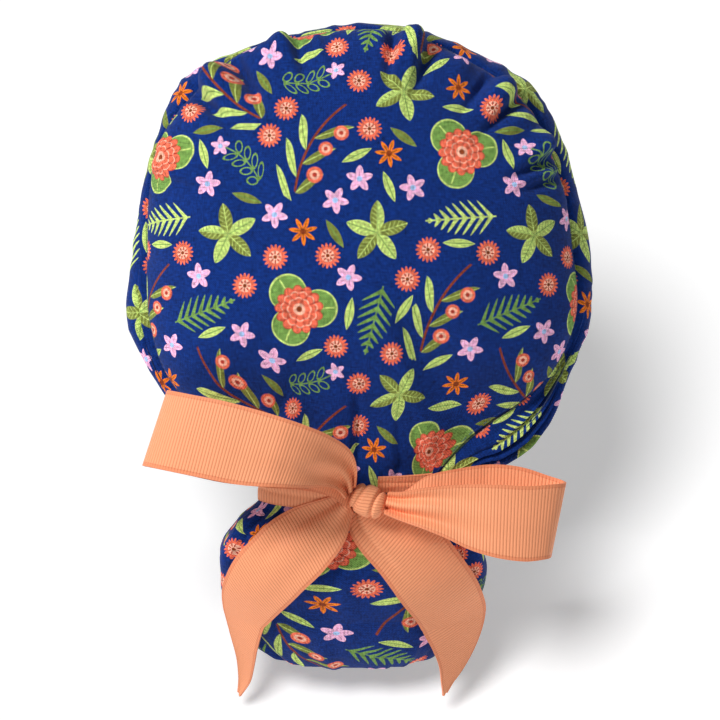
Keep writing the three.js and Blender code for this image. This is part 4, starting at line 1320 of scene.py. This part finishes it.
def make_band():
    """The band on a grid that is closest at the seam, measured along one row a little below it."""
    row, column = even_grid(96, 460)
    angle = mix(BAND_FROM, BAND_TO, column)
    share = row ** 1.8
    grid = band_surface(share, angle)
    along = arc_lengths(grid, 1)[BAND_MEASURED_ROW][None] * np.ones_like(row)
    down = arc_lengths(grid, 0)
    hem = down[-1:] * (1 - HEM_SHARE)
    threads = np.stack([along, down], axis=-1) + BAND_PRINT_START
    off_hem = abs(down[-1:] - down - hem) + STITCH_OFF_SEAM
    stitch = np.stack([along, np.where(share < 0.5, down, off_hem)], axis=-1)
    piece = skin("band_cloth", material("woven_print", cotton), grid, threads, CLOTH_WALL, stitch=stitch,
                 printed=True)
    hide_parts("side_band")


def make_pouch():
    """The pouch from its mouth to a closed tip."""
    row, column = even_grid(116, 300)
    turn = -180 + column * 360
    grid = pouch_surface(row, turn)
    tip = pouch_middle(np.array([POUCH_TIP_PLACE]))[0] - ACROSS * POUCH_SHIFT
    grid = np.concatenate([grid, np.broadcast_to(tip, (1,) + grid.shape[1:])])
    turn = np.concatenate([turn, turn[-1:]])
    around = turn / 360 * POUCH_PRINT_ROUND
    down = arc_lengths(grid, 0)
    threads = np.stack([around, down], axis=-1) + POUCH_PRINT_START
    stitch = np.stack([around, abs(down - down[-1:] * POUCH_SEAM_PLACE) + STITCH_OFF_SEAM], axis=-1)
    piece = skin("pouch_cloth", material("woven_print", cotton), grid, threads, CLOTH_WALL, wrap=True,
                 stitch=stitch, printed=True)
    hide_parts("ponytail_pouch")


def make_ribbon(name, node, grid, flipped=False):
    """A ribbon on a grid whose rows run along it and whose columns run across it."""
    along = arc_lengths(grid, 0).mean(axis=1, keepdims=True) * np.ones(grid.shape[:2])
    across = np.linspace(-RIBBON_WIDTH / 2, RIBBON_WIDTH / 2, grid.shape[1]) * np.ones(grid.shape[:2])
    threads = np.stack([across, along], axis=-1)
    if flipped:
        grid, threads = grid[:, ::-1], threads[:, ::-1]
    piece = skin(name, material("ribbed_ribbon", grosgrain), grid, threads, RIBBON_WALL, centred=True)
    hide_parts(node)


def make_straps():
    """The ribbon from each end of the band to the knot."""
    row, column = even_grid(60, 16)
    for side, name in ((-1, "left"), (1, "right")):
        make_ribbon("strap_" + name, "ribbon_strap_" + name, strap_surface(side, row, column))


def make_loops():
    """The bow's two loops. The right one runs the other way round, so its grid is turned over."""
    row, column = even_grid(220, 32)
    for side, name, rows, length in ((-1, "left", LEFT_LOOP, LOOP_LENGTH_LEFT),
                                     (1, "right", RIGHT_LOOP, LOOP_LENGTH_RIGHT)):
        make_ribbon("loop_" + name, "ribbon_loop_" + name, loop_surface(rows, side, length, row, column),
                    flipped=side > 0)


def make_tails():
    """The ribbon's two free ends."""
    row, column = even_grid(140, 32)
    for side, name, rows, length in ((-1, "left", LEFT_TAIL, TAIL_LENGTH_LEFT),
                                     (1, "right", RIGHT_TAIL, TAIL_LENGTH_RIGHT)):
        make_ribbon("tail_" + name, "ribbon_tail_" + name, tail_surface(rows, side, length, row, column))


def make_knot():
    """The knot, one closed lump whose ribs run round it."""
    tilt, turn = even_grid(64, 96)
    grid = knot_surface(tilt * math.pi, turn * 2 * math.pi)
    grid[0], grid[-1] = grid[0, 0], grid[-1, 0]
    threads = np.stack([(tilt - 0.5) * KNOT_WRAP_WIDTH, turn * KNOT_WRAP_LENGTH], axis=-1)
    piece = skin("knot", material("ribbed_ribbon", grosgrain), grid[:, ::-1], threads[:, ::-1], 0, wrap=True)
    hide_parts("ribbon_knot")


def aim(thing, target):
    """Turns a light so that its -Z axis points at a place."""
    direction = Vector([t - p for t, p in zip(target, thing.location)])
    thing.rotation_euler = direction.to_track_quat("-Z", "Y").to_euler()


def make_stage():
    """The floor, the camera and the lights. The floor takes only its own sun and the cap only the others."""
    scene = bpy.context.scene
    stage = scene.scrub_cap_stage
    ground = float(CAD_BOUNDS[0][2]) - FLOOR_GAP
    mesh = bpy.data.meshes.new("floor")
    corners = ((-1, -1), (1, -1), (1, 1), (-1, 1))
    mesh.from_pydata([(x * FLOOR_HALF, y * FLOOR_HALF, ground) for x, y in corners], [], [(0, 1, 2, 3)])
    mesh.materials.append(paper())
    floor = bpy.data.objects.new("floor", mesh)
    scene.collection.objects.link(floor)
    focus = place_in_world(point(*VIEW_CENTRE))
    camera = bpy.data.objects.new("camera", bpy.data.cameras.new("camera"))
    camera.data.lens = stage.lens
    camera.data.sensor_width = SENSOR_WIDTH
    camera.data.clip_end = 20
    across, up, out = VIEW_CENTRE
    out = out + stage.span * 1000 * stage.lens / SENSOR_WIDTH
    camera.location = place_in_world(point(across, up, out))
    camera.rotation_euler = (math.radians(CROWN_TILT), 0, 0)
    scene.collection.objects.link(camera)
    scene.camera = camera
    softness = math.radians(stage.softness)
    for name, kind, place, power, size, on_floor in (
        ("key_light", "SUN", KEY_PLACE, stage.key_strength, softness, "EXCLUDE"),
        ("floor_light", "SUN", FLOOR_LIGHT_PLACE, stage.floor_strength, softness, "INCLUDE"),
        ("rim_light", "AREA", RIM_PLACE, stage.rim_power, RIM_SIZE, "EXCLUDE"),
    ):
        light = bpy.data.objects.new(name, bpy.data.lights.new(name, kind))
        light.data.energy = power
        setattr(light.data, "angle" if kind == "SUN" else "size", size)
        light.location = place_in_world(point(*place))
        aim(light, focus)
        scene.collection.objects.link(light)
        receivers = bpy.data.collections.new(name + "_on_floor")
        receivers.objects.link(floor)
        receivers.collection_objects[0].light_linking.link_state = on_floor
        light.light_linking.receiver_collection = receivers
    world = bpy.data.worlds.new("studio")
    world.use_nodes = True
    background = world.node_tree.nodes["Background"]
    background.inputs["Color"].default_value = (1, 1, 1, 1)
    background.inputs["Strength"].default_value = stage.ambient
    scene.world = world
    scene.view_settings.view_transform = "Standard"


def colour_prop(name, description, red, green, blue):
    """A colour of the panel, given as 0 to 255 in sRGB."""
    return bpy.props.FloatVectorProperty(name=name, description=description, size=3, min=0, max=1,
                                         subtype="COLOR", default=linear(red, green, blue))


def length_prop(name, description, default, low, high):
    """A length of the panel, in metres."""
    return bpy.props.FloatProperty(name=name, description=description, default=default, min=low, max=high,
                                   unit="LENGTH", precision=4)


def power_prop(name, description, default):
    """A light's power of the panel, in watts."""
    return bpy.props.FloatProperty(name=name, description=description, default=default, min=0, max=500,
                                   unit="POWER")


def number_prop(name, description, default, low, high):
    """A plain number of the panel."""
    return bpy.props.FloatProperty(name=name, description=description, default=default, min=low, max=high)


class ClothSettings(bpy.types.PropertyGroup):
    """The printed cotton."""

    repeat: length_prop("Repeat", "Side of the square that the print repeats in", 0.15, 0.05, 0.5)
    weave: length_prop("Weave", "Two threads of the plain weave", 0.0011, 0.0003, 0.003)
    ground: colour_prop("Ground", "Ground of the print", 11, 46, 118)
    reverse: colour_prop("Reverse", "Wrong side of the cloth", 70, 82, 122)
    thread: colour_prop("Thread", "Seam thread", 62, 82, 150)
    # Seam line is the colour of the painted shade along the crown's seam
    shade: colour_prop("Seam line", "Dark line of a seam", 8, 14, 46)
    lime: colour_prop("Lime", "Light leaves", 198, 220, 122)
    olive: colour_prop("Olive", "Dark leaves", 126, 136, 62)
    mid_green: colour_prop("Green", "Stems and fern leaves", 118, 158, 78)
    coral: colour_prop("Coral", "Petals of the large bloom and the small asters", 238, 112, 84)
    brick: colour_prop("Brick", "Lines between petals", 190, 62, 48)
    blush: colour_prop("Blush", "Pale rims of petals", 248, 186, 160)
    pink: colour_prop("Pink", "Blossoms", 244, 186, 220)
    blossom_line: colour_prop("Blossom line", "Lines on the blossoms' petals", 214, 120, 178)
    pale_blue: colour_prop("Pale blue", "Middles of the blossoms", 168, 200, 240)
    orange: colour_prop("Orange", "Daisies", 240, 126, 36)
    brown: colour_prop("Brown", "Twigs and dark middles", 140, 62, 30)


class RibbonSettings(bpy.types.PropertyGroup):
    """The grosgrain ribbon."""

    rib_pitch: length_prop("Rib pitch", "Distance from one rib to the next", 0.0016, 0.0005, 0.005)
    colour: colour_prop("Ribbon", "Top of a rib", 252, 166, 120)
    # Furrow is the colour of the painted shade between two ribs
    furrow_shade: colour_prop("Furrow", "Between two ribs", 206, 98, 60)


class StageSettings(bpy.types.PropertyGroup):
    """Floor, camera and light."""

    floor: colour_prop("Floor", "Pale floor", 252, 252, 252)
    span: length_prop("Span", "Width that the camera sees at the cap", 0.3456, 0.1, 2)
    lens: number_prop("Lens", "Focal length in millimetres", 400, 20, 600)
    key_strength: number_prop("Key", "Strength of the light at the upper left", 2.95, 0, 20)
    floor_strength: number_prop("Floor light", "Strength of the light that only the floor takes", 2.2, 0, 20)
    softness: number_prop("Softness", "Angle that each sun fills, in degrees", 16, 0, 90)
    rim_power: power_prop("Rim", "Power of the low light beyond the forehead", 1.5)
    ambient: number_prop("Ambient", "Light from all round", 0.29, 0, 5)


class SCRUBCAP_OT_crown(bpy.types.Operator):
    """Makes the gathered crown panel"""

    bl_idname = "scrubcap.crown"
    bl_label = "Crown"

    def execute(self, context):
        make_crown()
        return {"FINISHED"}


class SCRUBCAP_OT_band(bpy.types.Operator):
    """Makes the side band with its rolled back ends"""

    bl_idname = "scrubcap.band"
    bl_label = "Side band"

    def execute(self, context):
        make_band()
        return {"FINISHED"}


class SCRUBCAP_OT_pouch(bpy.types.Operator):
    """Makes the ponytail pouch"""

    bl_idname = "scrubcap.pouch"
    bl_label = "Pouch"

    def execute(self, context):
        make_pouch()
        return {"FINISHED"}


class SCRUBCAP_OT_bow(bpy.types.Operator):
    """Makes the ribbon's straps, loops, tails and knot"""

    bl_idname = "scrubcap.bow"
    bl_label = "Ribbon bow"

    def execute(self, context):
        make_straps()
        make_loops()
        make_tails()
        make_knot()
        return {"FINISHED"}


class SCRUBCAP_OT_stage(bpy.types.Operator):
    """Makes the floor, the camera and the lights"""

    bl_idname = "scrubcap.stage"
    bl_label = "Stage"

    def execute(self, context):
        make_stage()
        return {"FINISHED"}


class SCRUBCAP_PT_panel(bpy.types.Panel):
    """Lists the cap's settings and the operators that make it"""

    bl_idname = "SCRUBCAP_PT_panel"
    bl_label = "Scrub cap"
    bl_space_type = "VIEW_3D"
    bl_region_type = "UI"
    bl_category = "Scrub cap"

    def draw(self, context):
        for group in (context.scene.scrub_cap_cloth, context.scene.scrub_cap_ribbon,
                      context.scene.scrub_cap_stage):
            box = self.layout.box()
            for key in group.bl_rna.properties.keys():
                if key not in ("rna_type", "name"):
                    box.prop(group, key)
        for operator in OPERATORS:
            self.layout.operator(operator.bl_idname)


SETTINGS = (ClothSettings, RibbonSettings, StageSettings)
OPERATORS = (SCRUBCAP_OT_stage, SCRUBCAP_OT_crown, SCRUBCAP_OT_band, SCRUBCAP_OT_pouch, SCRUBCAP_OT_bow)


def register():
    """Adds the settings, the operators and the panel."""
    for cls in (*SETTINGS, *OPERATORS, SCRUBCAP_PT_panel):
        bpy.utils.register_class(cls)
    bpy.types.Scene.scrub_cap_cloth = bpy.props.PointerProperty(type=ClothSettings)
    bpy.types.Scene.scrub_cap_ribbon = bpy.props.PointerProperty(type=RibbonSettings)
    bpy.types.Scene.scrub_cap_stage = bpy.props.PointerProperty(type=StageSettings)


def unregister():
    """Takes them away again."""
    del bpy.types.Scene.scrub_cap_stage
    del bpy.types.Scene.scrub_cap_ribbon
    del bpy.types.Scene.scrub_cap_cloth
    for cls in reversed((*SETTINGS, *OPERATORS, SCRUBCAP_PT_panel)):
        bpy.utils.unregister_class(cls)


def main():
    """Makes the stage and every piece."""
    register()
    bpy.ops.scrubcap.stage()
    bpy.ops.scrubcap.crown()
    bpy.ops.scrubcap.band()
    bpy.ops.scrubcap.pouch()
    bpy.ops.scrubcap.bow()


if __name__ == "__main__":
    main()
